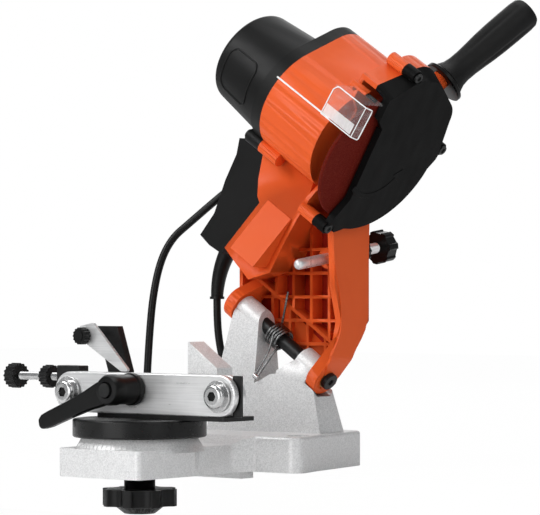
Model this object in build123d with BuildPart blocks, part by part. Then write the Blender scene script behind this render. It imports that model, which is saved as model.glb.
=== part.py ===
from build123d import *

import os
from math import cos, pi, radians, sin, sqrt, tan

# Bench chain grinder. Millimetres; +X is the operator's right, +Y points away from the operator, +Z up.
# The origin lies midway between the two bench holes, on the face that rests on the bench.

os.makedirs("parts", exist_ok=True)

# Clearances and cuts
fit_gap = 0.05
air_gap = 0.3
overrun = 5.0

# Layout of the machine
reach = 97.0
hinge_y = 47.0
hinge_z = 102.8
head_tilt = 34.0
spindle_reach = 160.0

tilt = radians(head_tilt)
hinge_axis = Vector(cos(tilt), 0, -sin(tilt))
HEAD = Plane(origin=(0, hinge_y, hinge_z), x_dir=(0, 1, 0), z_dir=hinge_axis)


def hinge(along):
    """Plane square to the hinge axis; its x points to the rear and its y up along the head."""
    return HEAD.offset(along)


def spindle(along):
    """Plane square to the spindle, centred on it."""
    centre = HEAD.from_local_coords(Vector(0, spindle_reach, along))
    return Plane(origin=centre, x_dir=(0, 1, 0), z_dir=hinge_axis)


def front(y):
    """Upright plane that faces the operator, drawn in X and Z."""
    return Plane(origin=(0, y, 0), x_dir=(1, 0, 0), z_dir=(0, -1, 0))


def side(x):
    """Upright plane that faces right, drawn in Y and Z."""
    return Plane(origin=(x, 0, 0), x_dir=(0, 1, 0), z_dir=(1, 0, 0))


def turn(z, x=0.0, y=0.0):
    """Level plane at a height, centred on the turntable."""
    return Plane(origin=(x, y - reach, z))


def hinge_height(x):
    """Height of the hinge axis over a point of the X axis."""
    return hinge_z - x * tan(tilt)


def head(back, up, along):
    """Point of the head: behind the hinge, up the head, and along the hinge axis."""
    return HEAD.from_local_coords(Vector(back, up, along))


def keep(piece, name):
    """Labels a finished piece and writes its file."""
    piece.part.label = name
    export_step(piece.part, f"parts/{name}.step")


# Base casting
base_height = 20.0
tail_height = 26.0
nose_reach = 46.0
nose_half = 38.5
waist_half = 33.0
waist_back = 62.0
ear_half = 82.0
ear_front = 19.0
ear_back = 17.0
ear_back_half = 72.0
tail_half = 56.0
tail_back = 90.0
base_corner = 8.0
base_edge = 2.5
base_wall = 4.0
base_roof = 5.0
seat_low_radius = 46.5
seat_high_radius = 41.0
seat_height = 7.0
seat_boss_radius = 16.0
rib_drop = 5.0
rib_half = 34.0
rib_front = 31.0
rib_back = 12.0
bench_hole = 8.5
bench_hole_half = 66.0
bench_pad_radius = 11.0
bench_pad_depth = 3.0
stiffener = 3.0
stiffener_pitch = 34.0

# Column with its two ears
ear_radius = 10.0
ear_foot_half = 19.0
ear_waist = 34.0
ear_relief = 1.5
left_ear_out = -27.5
right_ear_in = 41.0
right_ear_out = 58.0
valley_x = -1.5
valley_z = 61.5
column_left = 46.0
column_right = 62.0

# Hinge shaft, bushes and end screws
shaft_radius = 5.5
head_ear_radius = 13.0
head_ear_width = 9.0
bush_wall = 1.5
hinge_screw_head_radius = 6.5
hinge_screw_head = 4.0
hinge_screw_radius = 2.5
hinge_screw_length = 14.0
left_head_ear = left_ear_out - air_gap - head_ear_width
right_head_ear = right_ear_out + air_gap

# Turntable
disc_radius = 47.5
disc_low = 27.3
disc_thick = 13.0
disc_edge = 1.5
plate_thick = 3.0
plate_low = disc_low + disc_thick
rail_low = plate_low + plate_thick
rail_height = 29.0
rail_length = 170.0
rail_centre = 8.0
rail_thick = 5.0
jaw_gap = 2.4
jaw_play = 0.7
rail_edge = 0.6
rail_mid = rail_low + rail_height / 2
rail_hole_half = (rail_length - rail_height) / 2
rail_screw_radius = 5.0
rail_head_radius = 8.75
rail_head_height = 5.5
rail_hex = 3.2
washer_radius = 11.0
washer_thick = 1.6
bracket_left = 36.0
bracket_right = 85.0
bracket_front = 7.0
bracket_back = 26.0
spacer_radius = 7.0
flange_thick = 3.0
flange_height = 22.0
rail_face = jaw_gap / 2 + rail_thick
washer_face = rail_face + jaw_play
pivot_radius = 5.0
pivot_head_radius = 8.0
pivot_head = 5.0

# Lock knob under the base
knob_radius = 27.0
knob_lobe_radius = 9.0
knob_lobes = 8
knob_height = 12.0
knob_dome = 5.5
knob_stem_radius = 11.0
knob_stem = 9.0
knob_top = 0.4

# Clamp lever
hub_bore_share = 0.6
dome_share = 0.55
lever_root_radius = 11.5
lever_tip_radius = 9.5
lever_hub = 29.0
lever_arm = 72.0
lever_arm_width = 11.5
lever_arm_thick = 7.5
lever_drop = 21.0
lever_height = 61.0
lever_cap_radius = 5.0
lever_cap = 1.5
clamp_radius = 4.0

# Chain stop: screw with its knobs, block that it threads through, carriage and pawl
stop_axis_y = 15.5
stop_axis_z = 67.5
stop_screw_radius = 3.0
knurls = 24
knurl_radius = 0.7
stop_screw_length = 98.0
stop_knob_radius = 9.3
stop_knob = 9.5
stop_knob_x = -142.0
lock_knob_x = -107.0
lock_knob_radius = 8.5
lock_knob = 8.0
stop_block_x = -90.0
stop_block = 22.0
stop_block_depth = 11.0
stop_block_height = 17.0
carriage_top = 105.0
carriage_low = 60.0
carriage_bend = 73.0
carriage_left = -53.0
carriage_foot = -42.0
carriage_width = 20.0
pawl_pivot_x = -52.0
pawl_pivot_z = 98.0
pawl_head_left = -57.0
pawl_head_right = -44.0
pawl_tip_left = -17.0
pawl_tip_right = -9.0
pawl_tip_lift = 0.8
pawl_rise = 9.5
pawl_thick = 2.4
pawl_knob_radius = 6.3
pawl_knob = 6.0
pawl_pin_radius = 2.0

# Wedge block behind the right end of the rails
wedge_left = 37.0
wedge_right = 64.0
wedge_shoulder = 76.5
wedge_peak = 95.0

# Motor and wheel, placed along the spindle
cap_end = -129.0
cap_end_radius = 36.5
cap_root_radius = 41.5
cap_round = 6.0
split_at = -66.0
shoulder = 10.0
motor_radius = 43.5
crest_radius = 27.0
crest_rear = 18.0
crest_up = 30.5
closing_boss_radius = 5.5
closing_boss_front = 20.0
closing_boss_down = 41.5
closing_boss_cap = 15.0
closing_boss_housing = 20.0
closing_screw_radius = 2.0
shell_wall = 3.0
guard_back_at = -9.0
guard_split_at = 7.0
guard_face_at = 21.0
guard_lip_at = 15.5
guard_radius = 62.6
guard_wall = 3.0
wheel_at = 12.4
wheel_radius = 54.0
wheel_thick = 3.2
wheel_bore_radius = 11.1
spindle_radius = 5.0
spindle_end = 17.6
flange_radius = 19.0
flange_width = 3.6
nut_radius = 9.0
nut_collar_radius = 15.0
nut_collar = 1.3
front_bearing_radius = 16.0
front_bearing_width = 10.0
front_bearing_at = -22.0
rear_bearing_radius = 11.0
rear_bearing_width = 7.0
bearing_seat_wall = 2.5
stator_radius = 33.0
stator_bore_radius = 20.0
stator_length = 40.0
stator_at = -102.0
rotor_gap = 0.5
field_coil_width = 22.0
field_coil_height = 7.0
field_coil_out = 26.0
field_coil_turn = 5.0
commutator_radius = 11.0
commutator_length = 9.0
commutator_at = -116.0
brush_width = 6.0
brush_length = 14.0
brush_wall = 1.5
fan_radius = 36.0
fan_hub_radius = 10.0
fan_width = 9.0
fan_blades = 11
fan_blade_thick = 1.6
fan_at = -52.0

# Guard outline: the round part follows the wheel, a crest and a heel stand out of it, and the front is open
guard_crest_radius = 24.0
guard_crest_rear = 13.0
guard_crest_up = 49.0
guard_heel_radius = 20.0
guard_heel_rear = 38.0
guard_heel_up = 38.0
mouth_top_front = 31.0
mouth_top = 35.6
mouth_upper_front = 20.3
mouth_upper = 26.2
mouth_front = 14.3
mouth_lower = 33.6
mouth_low_front = 22.1
mouth_low = 50.6
guard_screw_radius = 2.0
guard_screw_head_radius = 3.6
guard_boss_radius = 5.0
guard_boss_end = 18.5
top_boss_front = 7.5
top_boss_up = 69.1
low_boss_front = 20.2
low_boss_down = 59.1
rear_boss_rear = 66.0
rear_boss_up = 12.3

# Visor
visor_thick = 2.0
visor_front = 62.0
visor_rear = 35.5
visor_low = 22.4
visor_high = 46.4
visor_start = -4.0
visor_end = 37.0
visor_bevel = 9.0
visor_roof_end = 21.0
visor_pin_radius = 1.5
visor_lug_radius = 3.6
visor_lug = 8.0

# Handle
handle_rise = 51.0
handle_start = 83.5
handle_length = 85.0
handle_neck_radius = 9.8
handle_end_radius = 12.6
handle_round = 5.0
handle_flange_radius = 17.8
handle_flange = 3.0
handle_bolt_radius = 4.0
handle_boss_radius = 11.0

# Arm: a ribbed web between two walls, with a neck and a wedge box in front of it
web_front = 55.0
web_back = 70.0
web_floor = 3.0
web_low_front = 61.0
web_left = 31.0
web_bottom = 5.0
rib_thick = 2.4
rib_pitch_x = 16.8
rib_pitch_z = 17.6
rib_start_x = 9.4
rib_start_z = 152.3
diagonal_up = 21.0
flange_x = 66.0
flange_wall = 5.0
flange_top = 178.0
flange_front = 41.0
flange_rear = 84.5
flange_nip = 50.5
flange_nip_z = 108.0
flange_knee_z = 134.0
flange_low_z = 82.0
flange_heel_z = 98.0
neck_front = 34.0
neck_wall = 3.0
neck_room_left = -48.0
neck_room_right = -17.0
neck_room_low = 46.0
neck_room_high = 112.0
wire_hole_radius = 6.0
ear_rise = 43.0
# Front view outlines of the arm, as shares of the spindle reach, from the hinge centre
seam_shares = ((-0.2, 0.376), (0.0125, 0.5825), (0.0, 0.614), (0.006, 0.695), (0.05, 0.876))
black_shares = (
    (-0.119, 0.889),
    (-0.1375, 0.814),
    (-0.206, 0.695),
    (-0.275, 0.539),
    (-0.3625, 0.439),
    (-0.306, 0.389),
    (-0.225, 0.345),
)
neck_shares = (
    (0.3625, 0.745),
    (0.3, 0.589),
    (0.169, 0.4075),
    (0.075, 0.2575),
    (-0.056, 0.226),
    (-0.1375, 0.3075),
)
web_side_share = 0.32
box_low = 42.5
box_high = 85.0
box_low_front = 29.0
box_high_front = 14.0
box_left = -44.0
box_right = -18.0
black_front = 36.0
black_back = 84.0

# Switch on the slope of the black shell
switch_x = -51.0
switch_z = 181.0
switch_lean = 48.8
rocker_length = 19.0
rocker_width = 12.0
rocker_deep = 8.0
rocker_proud = 1.5
rocker_play = 0.8
switch_rim = 2.5
switch_deep = 20.0

# Depth stop
stop_rod_radius = 4.0
stop_rod_x = 50.0
stop_rod_pitch = 8.0
stop_rod_tip = 23.0
stop_rod_tip_z = 150.0
stop_rod_length = 104.0
stop_boss_radius = 8.0
stop_nut_at = 62.0
stop_nut_radius = 10.5
stop_nut_width = 9.0
star_radius = 13.0
star_width = 11.0
star_points = 7
star_notch_radius = 3.4

# Return spring round the hinge shaft
wire = 1.8
coil_radius = 8.6
coil_turns = 2
coil_finish_share = 0.119
coil_pitch = 2.3
coil_start = 5.9
bridge_width = 2.7
bridge_drop = 31.0
bridge_front = 17.0
bridge_drift = 12.0
spring_lead = 7.0
spring_bend = 5.0
spring_end = 2.0
spring_arm_rise = 28.0
spring_arm_lean = 2.6
spring_arm_drift = 8.4

# Strain relief, cord and plug
cord_diameter = 6.0
relief_root_radius = 7.0
relief_tip_radius = 4.6
relief_bend = 66.3
relief_turn = 39.3
relief_x = -68.2
relief_y = 68.0
relief_z = 124.0
relief_ring_radius = 5.6
relief_ring = 2.0
relief_seat = 2.6
store_x = -106.0
store_y = 93.0
store_radius = 31.0
store_turns = 3
store_heading = 39.2
cord_gap = 0.6
cord_lead = 34.0
cord_approach = 18.0
store_finish = 0.5
run_share = 0.45
gap_samples = 900
plug_length = 36.0
plug_width = 20.0
plug_height = 18.0
plug_round = 4.0
plug_pin_radius = 2.0
plug_pin_length = 19.0
plug_pin_half = 6.0

# Chosen points of the cord's free stretch, from the strain relief round the back and down to the bench
cord_route = (
    (-68.2, 68.0, 124.0),
    (-68.2, 68.0, 106.0),
    (-66.0, 69.0, 86.0),
    (-61.3, 70.9, 67.1),
    (-48.5, 76.0, 53.4),
    (-31.0, 83.0, 48.3),
    (-13.5, 90.0, 53.4),
    (-0.7, 95.1, 67.1),
    (4.0, 97.0, 86.0),
    (5.5, 97.5, 108.0),
    (2.0, 97.0, 134.0),
    (-5.0, 96.0, 158.0),
    (-13.0, 94.5, 178.0),
    (-18.0, 93.5, 196.5),
    (-31.5, 92.0, 210.0),
    (-50.0, 91.0, 215.0),
    (-69.0, 86.0, 210.6),
    (-83.1, 79.0, 198.0),
    (-99.4, 71.0, 182.8),
    (-109.9, 63.0, 171.5),
    (-115.3, 55.0, 153.2),
    (-114.8, 46.0, 126.3),
    (-111.1, 38.0, 97.8),
    (-107.2, 31.0, 67.9),
    (-105.9, 28.4, 48.5),
    (-105.9, 28.2, 29.4),
    (-112.0, 35.7, 12.6),
)

nose_y = -reach - nose_reach
waist_y = -reach + waist_back

# Column: its front view between two slopes, cut to its side view along the hinge line
with BuildPart() as column:
    with BuildSketch(front(hinge_y)):
        with BuildLine():
            Polyline(
                (-column_left, base_height),
                (left_ear_out * cos(tilt) - bush_wall, hinge_height(left_ear_out * cos(tilt))),
                (valley_x, hinge_height(valley_x)),
                (valley_x, valley_z),
                (right_ear_in * cos(tilt), hinge_height(right_ear_in * cos(tilt))),
                (right_ear_out * cos(tilt), hinge_height(right_ear_out * cos(tilt))),
                (column_right, base_height),
                close=True,
            )
        make_face()
    extrude(amount=ear_foot_half, both=True)
    with BuildSketch(hinge(-column_left * 2)):
        with BuildLine():
            Polyline(
                (-ear_radius, 0),
                (ear_radius, 0),
                (ear_foot_half - base_wall, -ear_waist),
                (ear_foot_half, -2 * ear_waist),
                (ear_foot_half, -2 * hinge_z),
                (-ear_foot_half, -2 * hinge_z),
                (-ear_foot_half, -2 * ear_waist),
                (-ear_foot_half + base_wall, -ear_waist),
                close=True,
            )
        make_face()
    extrude(amount=4 * column_right, mode=Mode.INTERSECT)
    with BuildSketch(hinge(left_ear_out)):
        Circle(ear_radius)
    extrude(amount=ear_radius - left_ear_out)
    with BuildSketch(side(valley_x)):
        with Locations((hinge_y, hinge_z)):
            Rectangle(2 * ear_foot_half, 2 * ear_waist)
    extrude(amount=ear_foot_half, mode=Mode.SUBTRACT)
    with BuildSketch(hinge(right_ear_in)):
        Circle(ear_radius)
    extrude(amount=right_ear_out - right_ear_in)
    # Room for the ears of the head to swing
    for start, way in ((left_ear_out, -1), (right_ear_out, 1)):
        with BuildSketch(hinge(start)):
            Circle(head_ear_radius + ear_relief)
        extrude(amount=way * (head_ear_width + overrun), mode=Mode.SUBTRACT)

# Base casting
with BuildPart() as base_casting:
    with BuildSketch() as plan:
        with BuildLine():
            FilletPolyline(
                (0, nose_y),
                (nose_half, nose_y + base_edge),
                (nose_half, -reach + seat_boss_radius),
                (waist_half, waist_y),
                (waist_half + base_corner, -ear_front),
                (ear_half, -ear_front),
                (ear_back_half, ear_back),
                (tail_half, tail_back),
                (0, tail_back),
                radius=[base_wall, seat_boss_radius, base_corner, base_wall] + [base_corner] * 3,
            )
            mirror(about=Plane.YZ)
        make_face()
    extrude(amount=tail_height)
    fillet(base_casting.faces().sort_by(Axis.Z)[-1].outer_wire().edges(), base_edge)
    with BuildSketch(side(0)):
        with BuildLine():
            Polyline(
                (nose_y - overrun, base_height),
                (waist_y, base_height),
                (-ear_front - base_edge, tail_height),
                (-ear_front - base_edge, tail_height + overrun),
                (nose_y - overrun, tail_height + overrun),
                close=True,
            )
        make_face()
    extrude(amount=ear_half + overrun, both=True, mode=Mode.SUBTRACT)
    with BuildSketch():
        offset(plan.sketch, amount=-base_wall, kind=Kind.INTERSECTION)
        with GridLocations(stiffener_pitch, stiffener_pitch, 5, 1):
            Rectangle(stiffener, 4 * tail_back, mode=Mode.SUBTRACT)
        with Locations((0, -reach)):
            Circle(seat_boss_radius, mode=Mode.SUBTRACT)
            with GridLocations(stiffener_pitch, stiffener_pitch, 1, 11):
                Rectangle(4 * ear_half, stiffener, mode=Mode.SUBTRACT)
        with GridLocations(2 * bench_hole_half, stiffener_pitch, 2, 1):
            Circle(bench_pad_radius, mode=Mode.SUBTRACT)
    extrude(amount=base_height - base_roof, mode=Mode.SUBTRACT)
    # Cone that the disc sits over
    with BuildSketch(turn(base_height - base_edge)):
        Circle(seat_low_radius)
    with BuildSketch(turn(base_height + seat_height)):
        Circle(seat_high_radius)
    loft()
    # Bench edge rib, with a ramped front
    with BuildSketch(side(-rib_half)):
        with BuildLine():
            Polyline(
                (-rib_front, 0),
                (-rib_front + rib_drop, -rib_drop),
                (-rib_back, -rib_drop),
                (-rib_back, base_roof),
                (-rib_front, base_roof),
                close=True,
            )
        make_face()
    extrude(amount=2 * rib_half)
    # Column with the two ears, and the bore along the hinge line
    add(column.part)
    with BuildSketch(hinge(left_ear_out - overrun)):
        Circle(shaft_radius + fit_gap)
    extrude(amount=right_ear_out - left_ear_out + 2 * overrun, mode=Mode.SUBTRACT)
    with Locations((0, -reach, 0)):
        Hole(pivot_radius + fit_gap)
    with Locations((-bench_hole_half, 0, tail_height), (bench_hole_half, 0, tail_height)):
        CounterBoreHole(bench_hole / 2, bench_pad_radius - base_edge, bench_pad_depth)
keep(base_casting, "base_casting")

# Hinge shaft, bushes and end screws
with BuildPart() as hinge_shaft:
    with BuildSketch(hinge(left_head_ear)):
        Circle(shaft_radius)
    extrude(amount=right_head_ear + head_ear_width - left_head_ear)
    with BuildSketch(hinge(left_head_ear)):
        Circle(hinge_screw_radius)
    extrude(amount=hinge_screw_length, mode=Mode.SUBTRACT)
    with BuildSketch(hinge(right_head_ear + head_ear_width)):
        Circle(hinge_screw_radius)
    extrude(amount=-hinge_screw_length, mode=Mode.SUBTRACT)
keep(hinge_shaft, "hinge_shaft")

with BuildPart() as hinge_bushes:
    for start in (left_head_ear, right_head_ear):
        with BuildSketch(hinge(start)):
            Circle(shaft_radius + fit_gap + bush_wall)
            Circle(shaft_radius + fit_gap, mode=Mode.SUBTRACT)
        extrude(amount=head_ear_width)
keep(hinge_bushes, "hinge_bushes")

with BuildPart() as hinge_screws:
    for start, way in ((left_head_ear - air_gap, -1), (right_head_ear + head_ear_width + air_gap, 1)):
        with BuildSketch(hinge(start)):
            Circle(hinge_screw_head_radius)
        extrude(amount=way * hinge_screw_head)
        with BuildSketch(hinge(start)):
            Circle(hinge_screw_radius)
        extrude(amount=-way * hinge_screw_length)
        with BuildSketch(hinge(start + way * hinge_screw_head)):
            RegularPolygon(hinge_screw_radius, 6)
        extrude(amount=-way * hinge_screw_head / 2, mode=Mode.SUBTRACT)
keep(hinge_screws, "hinge_screws")

# Turntable disc
with BuildPart() as turntable_disc:
    with BuildSketch(turn(disc_low)):
        Circle(disc_radius)
    extrude(amount=disc_thick)
    fillet(turntable_disc.edges().filter_by(GeomType.CIRCLE), disc_edge)
    with BuildSketch(turn(disc_low)):
        Circle(pivot_radius + fit_gap)
    extrude(amount=disc_thick, mode=Mode.SUBTRACT)
    with BuildSketch(turn(disc_low + disc_thick - pivot_head)):
        RegularPolygon(pivot_head_radius + fit_gap, 6)
    extrude(amount=pivot_head, mode=Mode.SUBTRACT)
keep(turntable_disc, "turntable_disc")

with BuildPart() as pivot_stud:
    with BuildSketch(turn(disc_low + disc_thick)):
        RegularPolygon(pivot_head_radius, 6)
    extrude(amount=-pivot_head)
    with BuildSketch(turn(disc_low + disc_thick)):
        Circle(pivot_radius)
    extrude(amount=-(disc_low + disc_thick + knob_stem + knob_height / 2))
keep(pivot_stud, "pivot_stud")

# Vise bracket: base plate and an upright flange that carries the rails
rail_holes = (rail_centre - rail_hole_half, rail_mid), (rail_centre + rail_hole_half, rail_mid)
with BuildPart() as vise_bracket:
    with BuildSketch(turn(plate_low)):
        with BuildLine():
            FilletPolyline(
                (-bracket_left, -bracket_front),
                (bracket_right, -bracket_front),
                (bracket_right, bracket_back),
                (-bracket_left, bracket_back),
                radius=flange_thick,
                close=True,
            )
        make_face()
    extrude(amount=plate_thick)
    with BuildSketch(front(-reach + rail_face)):
        with BuildLine():
            FilletPolyline(
                (rail_centre - rail_length / 2 + rail_edge, rail_low),
                (bracket_right, rail_low),
                (bracket_right, rail_low + flange_height),
                (rail_centre - rail_length / 2 + rail_edge, rail_low + flange_height),
                radius=rail_edge,
                close=True,
            )
        make_face()
        with Locations(*rail_holes):
            Circle(rail_screw_radius + fit_gap, mode=Mode.SUBTRACT)
        with Locations((0, lever_height)):
            Circle(clamp_radius + fit_gap, mode=Mode.SUBTRACT)
    extrude(amount=-flange_thick)
keep(vise_bracket, "vise_bracket")


def rail(name, near, hole):
    """A rail plate with rounded ends, its near face ahead of the turntable axis."""
    with BuildPart() as plate:
        with BuildSketch(front(-reach - near)):
            with Locations((rail_centre, rail_mid)):
                SlotOverall(rail_length, rail_height)
            with Locations(*rail_holes):
                Circle(hole, mode=Mode.SUBTRACT)
            with Locations((0, lever_height)):
                Circle(clamp_radius + air_gap, mode=Mode.SUBTRACT)
        extrude(amount=-rail_thick)
        outline = plate.edges().filter_by(lambda edge: edge.length > rail_height)
        chamfer(outline, rail_edge)
    keep(plate, name)


rail("front_rail", rail_face, spacer_radius + fit_gap)
rail("rear_rail", -jaw_gap / 2, rail_screw_radius + fit_gap)

with BuildPart() as rail_spacers:
    with BuildSketch(front(-reach + jaw_gap / 2)):
        with Locations(*rail_holes):
            Circle(spacer_radius)
            Circle(rail_screw_radius + fit_gap, mode=Mode.SUBTRACT)
    extrude(amount=jaw_gap / 2 + washer_face)
keep(rail_spacers, "rail_spacers")

with BuildPart() as rail_washers:
    with BuildSketch(front(-reach - washer_face)):
        with Locations(*rail_holes):
            Circle(washer_radius)
            Circle(rail_screw_radius + fit_gap, mode=Mode.SUBTRACT)
    extrude(amount=washer_thick)
keep(rail_washers, "rail_washers")

with BuildPart() as rail_screws:
    with BuildSketch(front(-reach - washer_face - washer_thick)):
        with Locations(*rail_holes):
            Circle(rail_head_radius)
    extrude(amount=rail_head_height)
    heads = rail_screws.edges().filter_by(GeomType.CIRCLE).group_by(Axis.Y)[0]
    fillet(heads, rail_head_height * dome_share)
    with BuildSketch(front(-reach - washer_face - washer_thick)):
        with Locations(*rail_holes):
            Circle(rail_screw_radius)
    extrude(amount=-(washer_thick + washer_face + rail_face + flange_thick))
    with BuildSketch(front(-reach - washer_face - washer_thick - rail_head_height)):
        with Locations(*rail_holes):
            RegularPolygon(rail_hex, 6, major_radius=False)
    extrude(amount=-rail_hex, mode=Mode.SUBTRACT)
keep(rail_screws, "rail_screws")

with BuildPart() as wedge_block:
    with BuildSketch(front(-reach + rail_face + flange_thick)):
        with BuildLine():
            Polyline(
                (wedge_left, rail_low),
                (wedge_right, rail_low),
                (wedge_right, wedge_shoulder),
                (wedge_left, wedge_peak),
                close=True,
            )
        make_face()
    extrude(amount=-(bracket_back - rail_face - flange_thick))
    chamfer(wedge_block.edges().filter_by(Axis.Y), rail_edge)
keep(wedge_block, "wedge_block")

# Clamp bolt and lever
with BuildPart() as clamp_bolt:
    with BuildSketch(front(-reach + rail_face + flange_thick)):
        with Locations((0, lever_height)):
            RegularPolygon(2 * clamp_radius, 6)
    extrude(amount=-clamp_radius)
    with BuildSketch(front(-reach + rail_face + flange_thick)):
        with Locations((0, lever_height)):
            Circle(clamp_radius)
    extrude(amount=rail_face + flange_thick + washer_face + lever_hub * hub_bore_share)
keep(clamp_bolt, "clamp_bolt")

hub_plane = Plane(origin=(0, -reach - washer_face, lever_height), x_dir=(1, 0, 0), z_dir=(0, -1, 0))
with BuildPart() as clamp_lever:
    with BuildSketch(hub_plane):
        Circle(lever_root_radius)
    with BuildSketch(hub_plane.offset(lever_hub)):
        Circle(lever_tip_radius)
    loft()
    with BuildSketch(hub_plane.offset(lever_hub - lever_arm_thick)):
        with Locations(Location((0, 0), 180 + lever_drop)):
            with Locations((lever_arm / 2, 0)):
                SlotOverall(lever_arm + lever_arm_width, lever_arm_width)
    extrude(amount=lever_arm_thick - lever_cap)
    with BuildSketch(hub_plane):
        Circle(clamp_radius + fit_gap)
    extrude(amount=lever_hub * hub_bore_share + fit_gap, mode=Mode.SUBTRACT)
    with BuildSketch(hub_plane.offset(lever_hub)):
        Circle(lever_cap_radius + fit_gap)
    extrude(amount=-lever_cap, mode=Mode.SUBTRACT)
keep(clamp_lever, "clamp_lever")

with BuildPart() as lever_cap_screw:
    with BuildSketch(hub_plane.offset(lever_hub - lever_cap)):
        Circle(lever_cap_radius)
    extrude(amount=2 * lever_cap)
keep(lever_cap_screw, "lever_cap_screw")

# Chain stop
stop_plane = Plane(origin=(0, -reach + stop_axis_y, stop_axis_z), x_dir=(0, 1, 0), z_dir=(1, 0, 0))
with BuildPart() as stop_block_piece:
    with BuildSketch(stop_plane.offset(stop_block_x)):
        with Locations((rail_face + flange_thick + stop_block_depth / 2 - stop_axis_y, 0)):
            Rectangle(stop_block_depth, stop_block_height)
        Circle(stop_screw_radius + fit_gap, mode=Mode.SUBTRACT)
    extrude(amount=stop_block)
keep(stop_block_piece, "stop_block")

with BuildPart() as stop_screw:
    with BuildSketch(stop_plane.offset(stop_knob_x)):
        Circle(stop_knob_radius)
        with PolarLocations(stop_knob_radius, knurls):
            Circle(knurl_radius, mode=Mode.SUBTRACT)
    extrude(amount=stop_knob)
    with BuildSketch(stop_plane.offset(stop_knob_x + stop_knob)):
        Circle(stop_screw_radius)
    extrude(amount=stop_screw_length)
keep(stop_screw, "stop_screw")

with BuildPart() as stop_lock_nut:
    with BuildSketch(stop_plane.offset(lock_knob_x)):
        Circle(lock_knob_radius)
        with PolarLocations(lock_knob_radius, knurls):
            Circle(knurl_radius, mode=Mode.SUBTRACT)
        Circle(stop_screw_radius + fit_gap, mode=Mode.SUBTRACT)
    extrude(amount=lock_knob)
keep(stop_lock_nut, "stop_lock_nut")

stop_screw_tip = stop_knob_x + stop_knob + stop_screw_length
with BuildPart() as stop_carriage:
    with BuildSketch(front(-reach + stop_axis_y - stop_screw_radius)):
        with BuildLine():
            Polyline(
                (carriage_left, carriage_top),
                (carriage_left + carriage_width, carriage_top),
                (carriage_foot + carriage_width, carriage_bend),
                (carriage_foot + carriage_width, carriage_low),
                (carriage_foot, carriage_low),
                (carriage_foot, carriage_bend),
                close=True,
            )
        make_face()
    extrude(amount=-2 * stop_screw_radius)
    with BuildSketch(stop_plane.offset(carriage_foot - overrun)):
        Circle(stop_screw_radius + fit_gap)
    extrude(amount=stop_screw_tip - carriage_foot + overrun + air_gap, mode=Mode.SUBTRACT)
    with BuildSketch(front(-reach - pawl_thick / 2 - air_gap)):
        with Locations((pawl_pivot_x, pawl_pivot_z)):
            Circle(pawl_pin_radius)
    extrude(amount=-(stop_axis_y + pawl_thick))
keep(stop_carriage, "stop_carriage")

with BuildPart() as stop_pawl:
    with BuildSketch(front(-reach - pawl_thick / 2)):
        with BuildLine():
            FilletPolyline(
                (pawl_head_left, pawl_pivot_z + pawl_rise - pawl_thick),
                (pawl_head_left, pawl_pivot_z - pawl_pin_radius),
                (pawl_tip_left, rail_low + rail_height + pawl_tip_lift),
                (pawl_tip_right, rail_low + rail_height + pawl_tip_lift),
                (pawl_head_right, pawl_pivot_z + pawl_rise),
                radius=pawl_thick / 2,
                close=True,
            )
        make_face()
        with Locations((pawl_pivot_x, pawl_pivot_z)):
            Circle(pawl_pin_radius + fit_gap, mode=Mode.SUBTRACT)
    extrude(amount=-pawl_thick)
keep(stop_pawl, "stop_pawl")

with BuildPart() as pawl_knob_piece:
    with BuildSketch(front(-reach - pawl_thick / 2 - air_gap)):
        with Locations((pawl_pivot_x, pawl_pivot_z)):
            Circle(pawl_knob_radius)
    extrude(amount=pawl_knob)
keep(pawl_knob_piece, "pawl_knob")

# Lock knob under the base
with BuildPart() as lock_knob_piece:
    with BuildSketch(turn(-knob_top)):
        Circle(knob_stem_radius)
    extrude(amount=-knob_stem)
    with BuildSketch(turn(-knob_top - knob_stem)):
        Circle(knob_radius)
        with PolarLocations(knob_radius + knob_lobe_radius / 2, knob_lobes):
            Circle(knob_lobe_radius, mode=Mode.SUBTRACT)
    extrude(amount=-knob_height)
    with BuildSketch(turn(-knob_top - knob_stem - knob_height)):
        Circle(knob_radius - knob_lobe_radius)
    with BuildSketch(turn(-knob_top - knob_stem - knob_height - knob_dome)):
        Circle(knob_stem_radius)
    loft()
    with BuildSketch(turn(-knob_top)):
        Circle(pivot_radius + fit_gap)
    extrude(amount=-(knob_stem + knob_height / 2), mode=Mode.SUBTRACT)
keep(lock_knob_piece, "lock_knob")


# Shared outlines of the head
up_head = Vector(sin(tilt), 0, cos(tilt))


def level(up):
    """Plane across the head at a height over the hinge; its x points to the rear and its y to the left."""
    return Plane(origin=head(0, up, 0), x_dir=(0, 1, 0), z_dir=up_head)


def motor_outline(inset):
    """Section of the motor: round, with a crest behind its top."""
    Circle(motor_radius - inset)
    with Locations((crest_rear, crest_up)):
        Circle(crest_radius - inset)
    make_hull()


def guard_outline(inset):
    """Full outline of the wheel guard."""
    Circle(guard_radius - inset)
    with Locations((guard_crest_rear, guard_crest_up)):
        Circle(guard_crest_radius - inset)
    with Locations((guard_heel_rear, guard_heel_up)):
        Circle(guard_heel_radius - inset)
    make_hull()


def open_mouth(inset):
    """Cuts the open front out of a guard outline."""
    with BuildLine() as edge:
        Polyline(
            (-mouth_top_front + inset, 2 * guard_radius),
            (-mouth_top_front + inset, mouth_top - inset),
            (-mouth_upper_front + inset, mouth_upper - inset),
            (-mouth_front + inset, -mouth_lower + inset),
            (-mouth_low_front + inset, -mouth_low + inset),
            (-mouth_low_front - guard_wall + inset, -2 * guard_radius),
            (-2 * guard_radius, -2 * guard_radius),
            (-2 * guard_radius, 2 * guard_radius),
            close=True,
        )
    make_face(edge.edges(), mode=Mode.SUBTRACT)


def arm_points(shares):
    """Front view points of the arm."""
    return [(x * spindle_reach, hinge_z + z * spindle_reach) for x, z in shares]


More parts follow.
